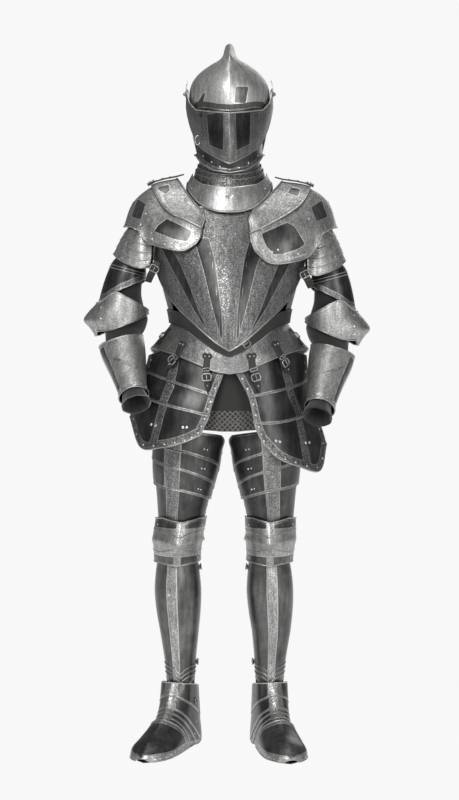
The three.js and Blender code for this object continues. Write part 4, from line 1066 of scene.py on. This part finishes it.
for name, side, ang, top, col, row, half in [
    ("tasset_strap_R_1", "R", -38, 1012, 1.42, 0.52, 8), ("tasset_strap_R_2", "R", -15, 985, 3.35, 0.75, 8),
    ("tasset_strap_L_1", "L", 15, 985, 3.15, 0.75, 8), ("tasset_strap_L_2", "L", 37, 1012, 1.55, 0.52, 8),
]:
    flap = TASSET[side]
    n0, n1, n3 = HIPS.normal(ang, top), HIPS.normal(ang, top - 24), flap.normal(col, row)
    low, high = across(flap, col, row, 10), across(HIPS, ang, top, 1.5)
    mid = across(HIPS, ang, top - 24, 2.5)
    knee = mid + unit(low - mid) * (np.linalg.norm(low - mid) * 0.5) + n1 * 1.5
    p = Piece(name + "_look", name, slot="leather")
    p.band([high, mid, knee, low], [n0, n1, n3, n3], np.array([half, half, half, half * 0.9]), 2.6)
    # heart-shaped tab with two rivets at the top, buckle and keeper lower down
    t = unit(mid - high)
    s = np.cross(t, n0)
    for k in (-1, 1):
        p.dome(high + n0 * 1.2 + s * 5.2 * k - t * 3, n0, 7.2, 0.35, mat=3, sides=14)
        p.dome(high + n0 * 3.4 + s * 5.2 * k - t * 2, n0, 2.6, 0.6, mat=1)
    p.buckle(knee + n3 * 2.6, n3, low - mid, 11, 8.5, 1.8)
    p.buckle(mid + n1 * 2.6 + (knee - mid) * 0.25, n1, low - mid, 9.5, 3.5, 1.3)
    tip = low + unit(low - knee) * 2
    p.band([low + n3 * 2.6 - unit(low - knee) * 10, low + n3 * 2.8, tip + n3 * 1.5 + unit(low - knee) * 12],
           [n3, n3, n3], np.array([6.5, 6.0, 1.5]), 2.2, mat=3)
    p.dome(low + n3 * 4.6 - unit(low - knee) * 4, n3, 2.4, 0.6, mat=1)
    p.make()

# ---- arms ----------------------------------------------------------------------------------------
dropL = line([[840, -31], [900, -29], [1070, -22], [1200, -18], [1240, -16], [1300, -5], [1430, -6]])
inL = line([[850, -13], [1100, -13], [1180, -5], [1240, 1], [1310, 4], [1430, 0]])


def to_left(p):
    return np.stack([-p[..., 0] + inL(p[..., 2]), p[..., 1], p[..., 2] + dropL(p[..., 2])], -1)


def both(surf):
    return {"R": surf, "L": Mapped(surf, to_left)}


SHOULDER = {
    "R": Net([
        [(-59, -136, 1314), (-68, -126, 1336), (-89, -100, 1361), (-107, -68, 1385), (-119, -38, 1404),
         (-130, 0, 1418), (-119, 42, 1402), (-90, 92, 1360), (-62, 126, 1314)],
        [(-66, -148, 1294), (-100, -140, 1312), (-141, -114, 1331), (-166, -83, 1357), (-182, -48, 1385),
         (-190, 0, 1402), (-182, 48, 1384), (-141, 106, 1330), (-72, 134, 1294)],
        [(-70, -156, 1277), (-106, -151, 1278), (-152, -134, 1290), (-196, -106, 1312), (-224, -67, 1340),
         (-240, 0, 1361), (-224, 66, 1340), (-152, 124, 1290), (-78, 138, 1278)],
        [(-80, -161, 1260), (-112, -158, 1242), (-155, -143, 1248), (-201, -110, 1264), (-229, -87, 1297),
         (-263, 0, 1302), (-229, 84, 1297), (-155, 128, 1252), (-86, 140, 1262)]], [-150, 0, 1270]),
    "L": Net([
        [(46, -140, 1314), (57, -130, 1337), (82, -104, 1360), (104, -69, 1382), (118, -38, 1397),
         (130, 0, 1411), (118, 42, 1396), (90, 92, 1356), (62, 126, 1310)],
        [(50, -152, 1284), (84, -145, 1299), (140, -118, 1330), (172, -86, 1354), (190, -50, 1380),
         (196, 0, 1398), (190, 48, 1380), (146, 106, 1328), (76, 134, 1290)],
        [(53, -160, 1262), (90, -157, 1262), (148, -140, 1276), (196, -110, 1300), (226, -71, 1332),
         (245, 0, 1363), (226, 66, 1336), (152, 124, 1288), (80, 138, 1274)],
        [(62, -166, 1240), (98, -164, 1212), (150, -149, 1214), (198, -116, 1232), (233, -89, 1287),
         (268, 0, 1300), (233, 84, 1290), (157, 128, 1246), (88, 140, 1256)]], [150, 0, 1270]),
}
LAMED = both(Net([
    [(-190, -70, 1282), (-218, -72, 1288), (-241, -46, 1298), (-250, 0, 1305), (-241, 46, 1298),
            (-218, 72, 1288),
     (-190, 70, 1282)],
    [(-190, -76, 1240), (-222, -79, 1241), (-256, -52, 1258), (-271, 0, 1272), (-256, 52, 1258),
            (-222, 79, 1241),
     (-190, 74, 1240)],
    [(-194, -74, 1204), (-222, -79, 1200), (-267, -54, 1217), (-289, 0, 1235), (-267, 54, 1217),
            (-222, 79, 1200),
     (-194, 74, 1204)]], [-225, 0, 1250]))
UPPER = both(Form("s x y z a f b tilt roll", [
    (0, -236, 5, 1250, 29, 38, 32, 0, 15), (28, -244, 5, 1223, 34, 40, 32, 0, 15),
    (50, -250, 5, 1202, 44, 44, 39, 0, 15), (100, -263, 5, 1153, 51, 46, 45, 0, 15),
    (160, -278, 5, 1095, 52, 46, 46, 0, 15)]))
LOWER = both(Form("s x y z a f b tilt roll", [
    (-20, -280, 11, 1054, 57, 50, 52, 42, -16), (20, -272, -15, 1026, 57, 50, 54, 42, -16),
    (70, -262, -49, 990, 55, 49, 54, 42, -16), (140, -247, -94, 941, 44, 41, 44, 42, -16),
    (195, -236, -131, 901, 36.5, 35, 36, 42, -16), (212, -232.5, -142, 889, 37.5, 36, 37, 42, -16)]))
ELBOW = both(Form("z x y l r f b", [
    (1145, -266, 2, 52, 62, 62, 58), (1112, -266, 4, 66, 64, 68, 66), (1090, -268, 6, 84, 67, 72, 74),
    (1069, -268, 8, 96, 66, 74, 78), (1050, -267, 8, 82, 62, 72, 72), (1028, -266, 6, 68, 58, 66, 64)]))
SLEEVE = both(Form("s x y z l r f b tilt roll", [
    (0, -251, 5, 1192, 36, 36, 35, 34, 0, 15), (50, -261, 5, 1142, 40, 42, 37, 36, 0, 12),
    (80, -263, 4, 1112, 43, 49, 43, 40, 8, 6), (110, -263, 2, 1082, 46, 56, 48, 44, 18, 0),
    (135, -264, -6, 1056, 45, 60, 48, 46, 30, -8), (165, -267, -24, 1027, 42, 48, 42, 44, 42, -16),
    (200, -262, -48, 1001, 38, 40, 38, 38, 42, -16), (310, -236.5, -126, 907, 27, 27, 27, 27, 42, -16),
    (332, -231.5, -142, 890, 29, 29, 29, 29, 42, -16), (360, -225.5, -162, 869, 37, 37, 34, 34, 42, -16)]))

P_DARK = {
    "R": [[(137.3, 198.4), (145.8, 203.8), (140.9, 219.8), (131, 217)],
          [(157, 186.8), (168.6, 184), (170.4, 190.4), (165.9, 194.4), (158.8, 190.8)],
          [(166.8, 218.5), (191.8, 230.5), (190.9, 236.8), (186.4, 241.7), (173.9, 239.5), (153.8, 231.4),
           (157.9, 225.2)]],
    "L": [[(261.1, 233.7), (287, 222.2), (294.6, 226), (305.6, 244.2), (298.4, 249), (283.1, 254.3),
            (273.6, 254.7),
           (265.9, 246.1)],
          [(311, 207), (322, 200), (328, 217), (316, 222)], [(291, 187), (301, 189), (298, 197), (287, 193)]],
}
P_RIVETS = {
    "R": [(193.6, 218), (189.1, 224.5), (195.4, 234.3), (179.7, 246.4), (175.7, 244), (164.1, 243.8),
            (151.9, 238.9),
          (145.4, 213.6), (140.3, 224.7), (140, 235.4)],
    "L": [(258.7, 221.2), (261.8, 228.9), (255.9, 237), (263, 250.4), (275.2, 259.2), (289.1, 257.8),
            (298.4, 253.8),
          (309, 218.6), (272.3, 251.9), (278.1, 249.7)],
}
P_TOP = {"R": [(173.7, 183.4), (181.5, 194.6), (193.4, 205.3)],
        "L": [(283.9, 185.4), (273.6, 197.8), (261.4, 209.6)]}


def shoulder_paint(side, low):
    def paint(g):
        e = full(g, 99.0)
        for poly in P_DARK[side]:
            e = np.minimum(e, -inside(g["uv"], poly))
        back = g["c"] > 5.2
        cb = np.minimum(np.abs(g["c"] - 6.3) * 40 - 30, g["edge"] - 15)
        e = np.where(back, np.where(low, -cb * 1.0, 99.0), e)
        return e, np.minimum(np.abs(g["edge"] - 8), np.abs(g["edge"] - 13) + 0.4)
    return paint


cuts = [0.3, 0.53, 0.77, 1.0]
for side in "RL":
    cap = SHOULDER[side]
    p = Piece(f"shoulder_band_{side}", f"pauldron_upper_{side}")
    p.shell(cap, np.linspace(0, 8, 110), const(0), const(1.04), np.linspace(0, 1, 16), lambda T,
            C: 1.2 + 1.6 * T,
            paint=shoulder_paint(side, False), tone=1.5, plain=0.4, bead=(2.4, 1.2))
    p.rivets(P_TOP[side], 2.8)
    p.make()
    p = Piece(f"shoulder_plate_{side}", f"pauldron_{side}")
    p.shell(cap, np.linspace(0, 8, 130), const(0.9), const(3), np.linspace(0, 1, 34), -2.0,
            paint=shoulder_paint(side, True), tone=1.5, plain=0.4, bead=(0, 2.4), bead_sides=2.0)
    p.rivets(P_RIVETS[side], 2.8)
    p.rivets_at(cap, [(c, 2.85) for c in (5.4, 6.0, 6.6, 7.2)] + [(5, 2.0), (6.2, 1.15)], 0.0)
    p.make()
    lamed = LAMED[side]
    p = Piece(f"shoulder_lames_{side}", f"pauldron_lames_{side}")
    start = 0.0
    for k, cut in enumerate(cuts):
        a, b = max(0, start - 0.03) * 2, cut * 2
        p.shell(lamed, np.linspace(0, 6, 60), const(a), const(b), np.linspace(0, 1, 9), lambda T,
                C: -3.6 + 1.6 * T,
                paint=lambda g: (full(g), np.abs(g["bottom"] - 4)), tone=1.6, plain=0.5, bead=(0,
                        1.4 if k < 3 else 2.0))
        p.rivets_at(lamed, [(0.5, (a + b) / 2), (2.0, (a + b) / 2 + 0.1), (4.0, (a + b) / 2 + 0.1)], -0.9,
                2.4)
        start = cut
    p.make()

    def upper_paint(g):
        return np.maximum(9 - g["top"], 12 - g["bottom"]), np.minimum(np.abs(g["bottom"] - 12),
                np.abs(g["u"] % 36 - 18) + np.where(g["bottom"] > 30, 30, 60))

    p = Piece(f"upper_cannon_{side}", f"rerebrace_{side}")
    low = line([[-180, 118], [-135, 142], [-90, 150], [-45, 140], [0, 104], [30, 84], [60, 70], [90, 68],
            [135, 84],
                [180, 118]])
    p.shell(UPPER[side], np.arange(-180, 180, 5.0), const(12), low, np.linspace(0, 1, 26), -2.0, ring=True,
            paint=upper_paint, tone=0.8, plain=0.3, bead=(0, 2.0))
    # the turner ring above the elbow
    for s in (55, 62):
        cc = np.arange(-180, 180, 8.0)
        p.bead(UPPER[side].point(cc, np.full(len(cc), float(s))) + UPPER[side].normal(cc,
                np.full(len(cc), float(s))) * 0.4,
               1.5, closed=True)
    p.make()

    def elbow_paint(g):
        return full(g), np.minimum(np.abs(g["edge"] - 6), np.abs(g["edge"] - 14))

    p = Piece(f"elbow_{side}", f"couter_{side}")
    p.shell(ELBOW[side], fine(-200, 84, 3.5, 380),
            line([[-200, 1093], [-150, 1108], [-120, 1113], [-90, 1112], [-60, 1114], [-50, 1120],
                    [-30, 1137],
                  [-17, 1141], [0, 1135], [30, 1117], [55, 1104], [84, 1094]]),
            line([[-200, 1060], [-150, 1040], [-120, 1031], [-90, 1030], [-65, 1034], [-50, 1044],
                    [-30, 1045],
                  [-17, 1047], [0, 1055], [30, 1069], [55, 1079], [84, 1087]]),
            np.linspace(0, 1, 28), -2.0, paint=elbow_paint, tone=1.4, plain=0.5, bead=(2.2, 2.2))
    rv = [(100.7, 301.7), (100.7, 307.4), (100.6, 318.3), (100.9, 325.8)] if side == "R" else \
        [(354.5, 309.7), (354.5, 315.4), (354.5, 326.3), (354.5, 334.4)]
    p.rivets(rv, 2.6)
    p.make()

    def lower_paint(g):
        c = wrap(g["c"])
        dark = np.minimum(np.minimum(11 - np.abs(c + 62) * 0.75, g["bottom"] - 16), g["top"] - 10)
        return -np.maximum(dark, np.minimum(11 - np.abs(c - 150) * 0.75, g["bottom"] - 16)), \
            np.minimum(np.minimum(np.abs(c + 26), np.abs(c - 30)) * 0.75, np.abs(g["bottom"] - 14))

    p = Piece(f"lower_cannon_{side}", f"vambrace_{side}")
    p.shell(LOWER[side], np.arange(-180, 180, 4.5), lambda c: even([[0, 60], [30, 56], [60, 46], [90, 34],
            [120, 14],
            [150, -4], [180,
                    -12]])(wrap(c)), const(212), np.linspace(0, 1, 44), -2.0, ring=True, paint=lower_paint,
            tone=1.9, plain=0.6, bead=(1.8, 2.2))
    hook = [(114, 359), (121, 361), (128, 363.5), (133, 366)] if side == "R" else [(324, 374), (331, 371.5),
            (338, 369), (344, 366.5)]
    q = [p.find(u, v) for u, v in hook]
    p.band([a + n * 0.6 for a, n in q], [n for a, n in q], np.array([3.0, 3.4, 3.4, 2.0]), 2.4, mat=1)
    p.rivets([hook[0], hook[-1]], 3.2)
    p.rivets_at(LOWER[side], [(c, 203) for c in range(-165, 180, 30)], 0.2, 2.0)
    p.make()
    # sleeve of near-black cloth, dark both as cloth and as painted shade in the armpits and elbow crooks
    p = Piece(f"arm_cloth_{side}", f"sleeve_{side}", slot="cloth")

    def rumple(T, C):
        return -1.6 + 1.1 * np.sin(C * DEG * 5 + T * 40) * np.exp(-((T - 0.36) / 0.16) ** 2) \
            + 0.6 * np.sin(C * DEG * 9 + T * 12) * (T > 0.88)

    p.shell(SLEEVE[side], np.arange(-180, 180, 6.0), const(0), const(360), np.linspace(0, 1, 76), rumple,
            wall=1.6,
            ring=True, mat=4)
    o = p.make()

    # strap over the shoulder with studs and a buckle, strap under the arm
    p = Piece(f"shoulder_leather_{side}", f"shoulder_strap_{side}", slot="leather")
    pts = [across(cap, 5, 1.16, 6), across(cap, 5, 0.85, 7.3), across(cap, 5, 0.55, 7.5),
            across(cap, 5, 0.25, 7.5),
           across(cap, 5, 0.02, 7), across(cap, 5, 0, 6) * [0.86, 1, 1] + [0, 0, 6]]
    out = [cap.normal(5, 1.1), cap.normal(5, 0.8), cap.normal(5, 0.5), cap.normal(5, 0.25),
            cap.normal(5, 0.05),
           np.array([0, 0, 1.0])]
    p.band(pts, out, np.array([13, 13, 13, 13, 13, 12.0]), 2.6)
    for k in (1, 2, 3):
        for e in (-1, 1):
            p.dome(pts[k] + out[k] * 2.4 + np.array([0, 8.0 * e, 0]), out[k], 3.4, 0.7)
    p.buckle((pts[0] + pts[1]) / 2 + out[0] * 3, out[0], pts[1] - pts[0], 15, 9, 2.0)
    p.make()
    x, drop = (-1, 0) if side == "R" else (1, -14)
    p = Piece(f"armpit_leather_{side}", f"armpit_strap_{side}", slot="leather")
    pts = [(x * 176, -84, 1214 + drop), (x * 184, -87, 1198 + drop), (x * 193, -82, 1182 + drop),
           (x * 200, -68, 1166 + drop)]
    out = [(0.1 * x, -1, 0.1), (0, -1, 0), (0, -1, -0.2), (0, -1, -0.8)]
    p.band(pts, out, np.array([9, 9, 9, 8.0]), 2.6)
    p.buckle(np.array(pts[1], float) + [0, -2.8, 0], [0, -1, 0], np.array(pts[2], float) - pts[1], 11, 8, 1.8)
    p.make()
    p = Piece(f"hip_leather_{side}", f"hip_strap_{side}", slot="leather")
    st = [(72, 1050, 1.2), (72, 1036, 2.2), (70, 1022, 2.6), (68, 1010, 2.6)]
    p.band([across(HIPS, a * x, s, w) for a, s, w in st], [HIPS.normal(a * x, s) for a, s, w in st], 8.0, 2.6)
    q, n = across(HIPS, 71 * x, 1030, 5.2), HIPS.normal(71 * x, 1030)
    p.buckle(q, n, [0, 0, -1.0], 11, 8, 1.8)
    p.make()

# ---- legs ----------------------------------------------------------------------------------------
to_left_leg = line([[0, -22], [150, -22], [287, -21], [391, -28], [467, -30], [518, -27], [578, -18],
        [760, -14]])


def leg(surf):
    return {"R": surf, "L": Mapped(surf, lambda p: np.stack([-p[..., 0] + to_left_leg(p[..., 2]), p[..., 1],
            p[..., 2]], -1))}


THIGH = leg(Form("z x l r f b", [
    (810, -102, 84, 96, 86, 90), (768, -104, 84, 90, 87, 90), (745, -106, 83, 85, 86, 90), (700, -109, 80,
            80, 84, 86),
    (640, -114, 69, 68, 76, 76), (590, -119, 60.5, 60, 66, 66), (555, -121, 57, 55, 62, 60)]))
KNEE = leg(Form("z x l r f b kf", [
    (590, -118, 63, 60.5, 70, 60, 2), (560, -121, 64.5, 59, 77, 60, 4), (535, -125, 64.5, 57.5, 84, 60, 6),
    (515, -127, 63, 56.5, 85, 60, 7), (490, -129, 59.5, 55.5, 77, 60, 5), (462, -130, 57, 55, 66, 60,
            2)], 30))
SHIN = leg(Form("z x a f b kf", [
    (485, -130, 50.5, 54, 56, 2), (462, -130, 52, 55, 62, 4), (435, -130, 55.5, 57, 70, 5),
    (391, -129.5, 58.5, 58, 80, 7), (340, -128, 55.5, 55, 76, 7), (287, -126, 48.5, 51, 62, 7),
    (225, -124, 40.5, 46, 50, 6), (185, -123, 37.2, 44, 45, 5), (160, -123, 35, 41, 44, 1),
    (100, -123, 33, 42, 47, 0), (50, -123, 33, 38, 52, 0), (6, -123, 34, 34, 55, 0)], 26))


STRIP = {"R": -24.0, "L": -8.0}


def strip_paint(width, border, at):
    def paint(g):
        c = wrap(g["c"]) - at
        e = np.maximum(width - np.abs(c) * 1.05, border - np.minimum(g["left"], g["right"]))
        return np.maximum(e, 5 - g["bottom"]), np.minimum(np.abs(g["edge"] - 5),
                np.abs(np.abs(c) * 1.05 - width + 4))
    return paint


for side in "RL":
    p = Piece(f"thigh_lames_{side}", f"cuisse_lames_{side}")
    top, low = line([[-110, 800], [0, 800], [60, 786], [104, 752]]), line([[-110, 668], [0, 648], [60, 627],
            [104, 622]])
    start = 0
    for k, cut in enumerate((0.36, 0.66, 1.0)):
        a, b = max(0, start - 0.03), cut

        def lean(c, q):
            return q + 0.17 * (np.asarray(c) + 3) / 107 * np.sin(min(max(q, 0), 1) * math.pi)

        p.shell(THIGH[side], fine(-110, 104, 3.6, 300), lambda c: top(c) + (low(c) - top(c)) * lean(c, a),
                lambda c: top(c) + (low(c) - top(c)) * lean(c, b), np.linspace(0, 1,
                        14), lambda T, C: 1.2 + 1.6 * T,
                paint=strip_paint(15, 11, STRIP[side]), tone=1.0, plain=0.3, bead=(0, 1.3), bead_sides=1.6)
        p.rivets_at(THIGH[side], [(c, float(top(c) + (low(c) - top(c)) * (a + b) / 2)) for c in (-100, -94,
                88, 96)], 4.0, 2.6)
        p.rivets_at(THIGH[side], [(c, float(top(c) + (low(c) - top(c)) * (a + (b - a) * 0.7))) for c in (28,
                34)], 4.4, 2.6)
        start = cut
    p.make()
    p = Piece(f"thigh_plate_{side}", f"cuisse_{side}")
    p.shell(THIGH[side], fine(-110, 104, 3.6, 280), line([[-110, 676], [0, 656], [60, 635], [104, 630]]),
            const(566),
            np.linspace(0, 1, 24), -2.0, paint=strip_paint(15, 11,
                    STRIP[side]), tone=1.0, plain=0.3, bead=(0, 1.2), bead_sides=1.8)
    p.rivets_at(THIGH[side], [(c, s) for c in (-101, 95) for s in (585, 605, 625)], 0.0)
    p.make()

    def knee_paint(g):
        c = wrap(g["c"])
        mid = np.abs(g["s"] - 521)
        e = np.maximum(34 - mid, 9 - np.abs(c) * 1.2)
        return e, np.minimum(np.minimum(np.abs(mid - 34), np.abs(mid - 22)), np.abs(g["edge"] - 5))

    p = Piece(f"knee_{side}", f"poleyn_{side}")

    def knee_lift(T, C):
        z = (0.5 - T) * 2
        v = 2.4 * np.exp(-((z) / 0.16) ** 2)
        return v

    p.shell(KNEE[side], fine(-126, 98, 3.0, 300),
            line([[-128, 548], [-115, 562], [-92, 574], [-45, 580], [0, 570], [45, 580], [92, 578],
                    [98, 574]]),
            line([[-128, 490], [-115, 474], [-92, 466], [-45, 468], [0, 462], [45, 468], [92, 470],
                    [98, 474]]),
            np.linspace(0, 1, 40), knee_lift, paint=knee_paint, tone=1.4, plain=0.6, bead=(2.0,
                    2.0), bead_sides=2.0)
    for z0, rise in ((548, 14), (496, -14)):
        cc = fine(-100, 90, 5, 260)
        zz = z0 - rise * np.exp(-(np.abs(cc) / 22) ** 1.4)
        p.bead(KNEE[side].point(cc, zz) + KNEE[side].normal(cc, zz) * 1.9, 1.3)
    p.rivets_at(KNEE[side], [(-80, 521), (-104, 540), (-104, 500), (78, 540), (78, 500), (-60, 562),
            (60, 562), (-60, 480), (60, 480)], 2.0, 2.8)
    big = KNEE[side].point(84, 523) + KNEE[side].normal(84, 523) * 2.0
    p.dome(big, KNEE[side].normal(84, 523), 9.0, 0.4, sides=16)
    p.dome(big + KNEE[side].normal(84, 523) * 3.2, KNEE[side].normal(84, 523), 4.0, 0.8)
    p.make()

    def shin_paint(g):
        c = wrap(g["c"]) - STRIP[side] * 0.6
        e = np.maximum(11 - np.abs(c) * 0.85, 9 - np.minimum(g["left"], g["right"]))
        e = np.maximum(e, 10 - g["top"])
        return e, np.minimum(np.abs(np.abs(c) * 0.85 - 7), np.abs(g["edge"] - 4))

    p = Piece(f"shin_{side}", f"greave_front_{side}")
    low = even([[0, 150], [22, 153], [44, 160], [66, 167], [88, 172]])
    p.shell(SHIN[side], fine(-88, 88, 3.2, 170), const(482), low, np.linspace(0, 1, 84), -2.0,
            paint=shin_paint,
            tone=1.7, plain=0.4, bead=(1.6, 1.6), bead_sides=1.2)
    q, n = SHIN[side].point(STRIP[side] * 0.6, 392), SHIN[side].normal(STRIP[side] * 0.6, 392)
    for dx, dz, w, h in ((0, 16, 4.0, 12), (-7, 5, 3.2, 8), (7, 5, 3.2, 8), (-7, -5, 3.2, 8),
            (7, -5, 3.2, 8), (0, -16, 3.4, 12)):
        r = q + np.array([dx, 0, dz]) + n * 0.1
        t = unit(np.array([dx, 0, dz if dz else 1.0]))
        p.band([r - t * h * 0.6, r - t * h * 0.2, r + t * h * 0.2, r + t * h * 0.6], np.tile(n, (4, 1)),
               np.array([0.5, w, w * 0.8, 0.3]), 1.0, mat=1)
    # ankle lames, V-dipped at the front
    for k, z0 in enumerate((196, 184, 172)):
        cc = fine(-84, 84, 4, 150)
        zz = z0 + np.abs(cc) / 88 * 16 - 8 * np.exp(-(cc / 16) ** 2)
        p.bead(SHIN[side].point(cc, zz) + SHIN[side].normal(cc, zz) * 0.5, 1.4)
    p.rivets_at(SHIN[side], [(70, 203), (70, 191), (70, 179), (-70, 203), (-70, 191)], 0.2, 2.2)
    p.make()
    p = Piece(f"calf_{side}", f"greave_back_{side}")
    p.shell(SHIN[side], fine(91, 269, 3.6, 200), const(470), const(6), np.linspace(0, 1, 94), -2.0,
            paint=lambda g: (np.maximum(9 - np.abs(g["c"] - 180) * 0.9,
                    9 - np.minimum(g["left"], g["right"])),
                             np.minimum(np.abs(np.abs(g["c"] - 180) * 0.9 - 6), np.abs(g["edge"] - 4))),
            bead=(1.6, 1.4))
    for z0 in (450, 210):
        q, n = SHIN[side].point(92, z0), SHIN[side].normal(92, z0)
        p.band([q + [0, -9, 0] + n * 0.6, q + n * 1.4, q + [0, 14, 0] + n * 0.8], [n, n, n],
                np.array([5.5, 5.5, 4.0]), 2.4, mat=3)
        p.buckle(q + n * 3.6, n, [0, 1, 0], 7.5, 6, 1.5)
    p.make()

# ---- feet ----------------------------------------------------------------------------------------
INSTEP = [
    [(38.5, 20, 150), (39, -8, 158), (33, -40, 163), (0, -57, 166)], [(39, 26, 78), (40, -12, 100),
            (32, -50, 122), (0, -70, 137)],
    [(41, 28, 6), (41, -20, 48), (31, -66, 90), (0, -86, 106)], [(42, -40, 6), (40, -62, 43), (28, -90, 74),
            (0, -104, 88)],
    [(46, -95, 6), (43, -107, 37), (29, -124, 57), (0, -134, 68)], [(49, -142, 6), (45, -149, 29),
            (30, -159, 44), (0, -167, 52)],
    [(47, -186, 6), (43, -190, 23), (27, -198, 34), (0, -204, 40)], [(34, -219, 6), (29, -221, 14),
            (18, -226, 20), (0, -230, 23)],
    [(16, -233, 6), (13, -235, 8), (8, -237, 10), (0, -238, 11)]]
OUTLINE = [(0, 66), (22, 60), (36, 40), (40, 0), (42, -60), (45, -110), (46, -150), (40, -190), (24, -215),
        (0, -232)]
for side, turn, at in (("R", -22 * DEG, (-123, 6)), ("L", 12 * DEG, (101, 6))):
    def place(q):
        x, y, z = q
        return (at[0] + x * math.cos(turn) - y * math.sin(turn),
                at[1] + x * math.sin(turn) + y * math.cos(turn), z)

    grid = [[place((-x, y, z)) for x, y, z in row] + [place(q) for q in row[:-1][::-1]] for row in INSTEP]
    foot = Net(grid, place((0, -60, -40)))
    p = Piece(f"foot_lames_{side}", f"sabaton_{side}")
    start = 0
    for k, cut in enumerate((0.3, 0.56, 0.7, 0.85, 1.0)):
        a, b = max(0, start - 0.02) * 3.6, cut * 3.6
        p.shell(foot, np.linspace(0, 6, 52), const(a), const(b), np.linspace(0, 1, 16 if k < 2 else 8),
                lambda T, C: 1.2 * T,
                paint=lambda g: (np.where(np.abs(g["c"] - 3) < 0.42, 20.0,
                        np.maximum(9 - np.minimum(g["left"], g["right"]), 4 - g["bottom"])),
                                 np.abs(g["bottom"] - 3)), tone=1.4, plain=0.4, bead=(0, 1.2))
        p.rivets_at(foot, [(0.7, (a + b) / 2), (5.3, (a + b) / 2)], 2.6, 2.4)
        start = cut
    q, n = foot.point(5.2, 0.7), foot.normal(5.2, 0.7)
    p.buckle(q + n * 2.6, n, [0, 0, 1.0], 7, 6, 1.5)
    p.make()
    p = Piece(f"toe_{side}", f"toe_cap_{side}")
    p.shell(foot, np.linspace(0, 6, 60), const(3.42), const(8), np.linspace(0, 1, 52), lambda T,
            C: 4.8 - 1.8 * T,
            paint=lambda g: (np.maximum(12 - g["top"], 16 - np.minimum(g["left"], g["right"])),
                             np.minimum(np.abs(g["top"] - 8), np.abs(np.minimum(g["left"],
                                     g["right"]) - 11))), tone=1.4, plain=0.4, bead=(1.8, 1.6),
                                     bead_sides=2.0)
    inner = 5.55 if side == "R" else 0.45
    p.rivets_at(foot, [(inner, s) for s in (3.8, 4.3, 4.8, 5.3, 5.8, 6.3, 6.8, 7.2)], 5.4, 2.6)
    p.rivets_at(foot, [(6 - inner, s) for s in (3.8, 4.8, 5.8, 6.8)], 5.4, 2.6)
    p.make()
    p = Piece(f"sole_leather_{side}", f"sole_{side}", slot="leather")
    rim = OUTLINE + [(-x, y) for x, y in OUTLINE[1:-1][::-1]]
    ring = np.array([place((x, y, 0)) for x, y in rim])
    c2 = np.vstack([ring, ring[:1]])
    t = np.linspace(0, len(rim), 97)[:-1]
    dense = np.stack([np.interp(t, range(len(c2)), c2[:, k]) for k in range(3)], 1)
    mid = dense.mean(0)
    layers = [mid + (dense - mid) * f + [0, 0, z] for f, z in ((0.985, 0), (1, 0.8), (1, 3.2), (0.985, 4.0))]
    k = len(dense)
    faces = [(l * k + i, l * k + (i + 1) % k, (l + 1) * k + (i + 1) % k,
            (l + 1) * k + i) for l in range(3) for i in range(k)]
    faces += [tuple(range(k))[::-1], tuple(3 * k + i for i in range(k))]
    p.add(np.vstack(layers), faces, 3, smooth=False)
    p.make()
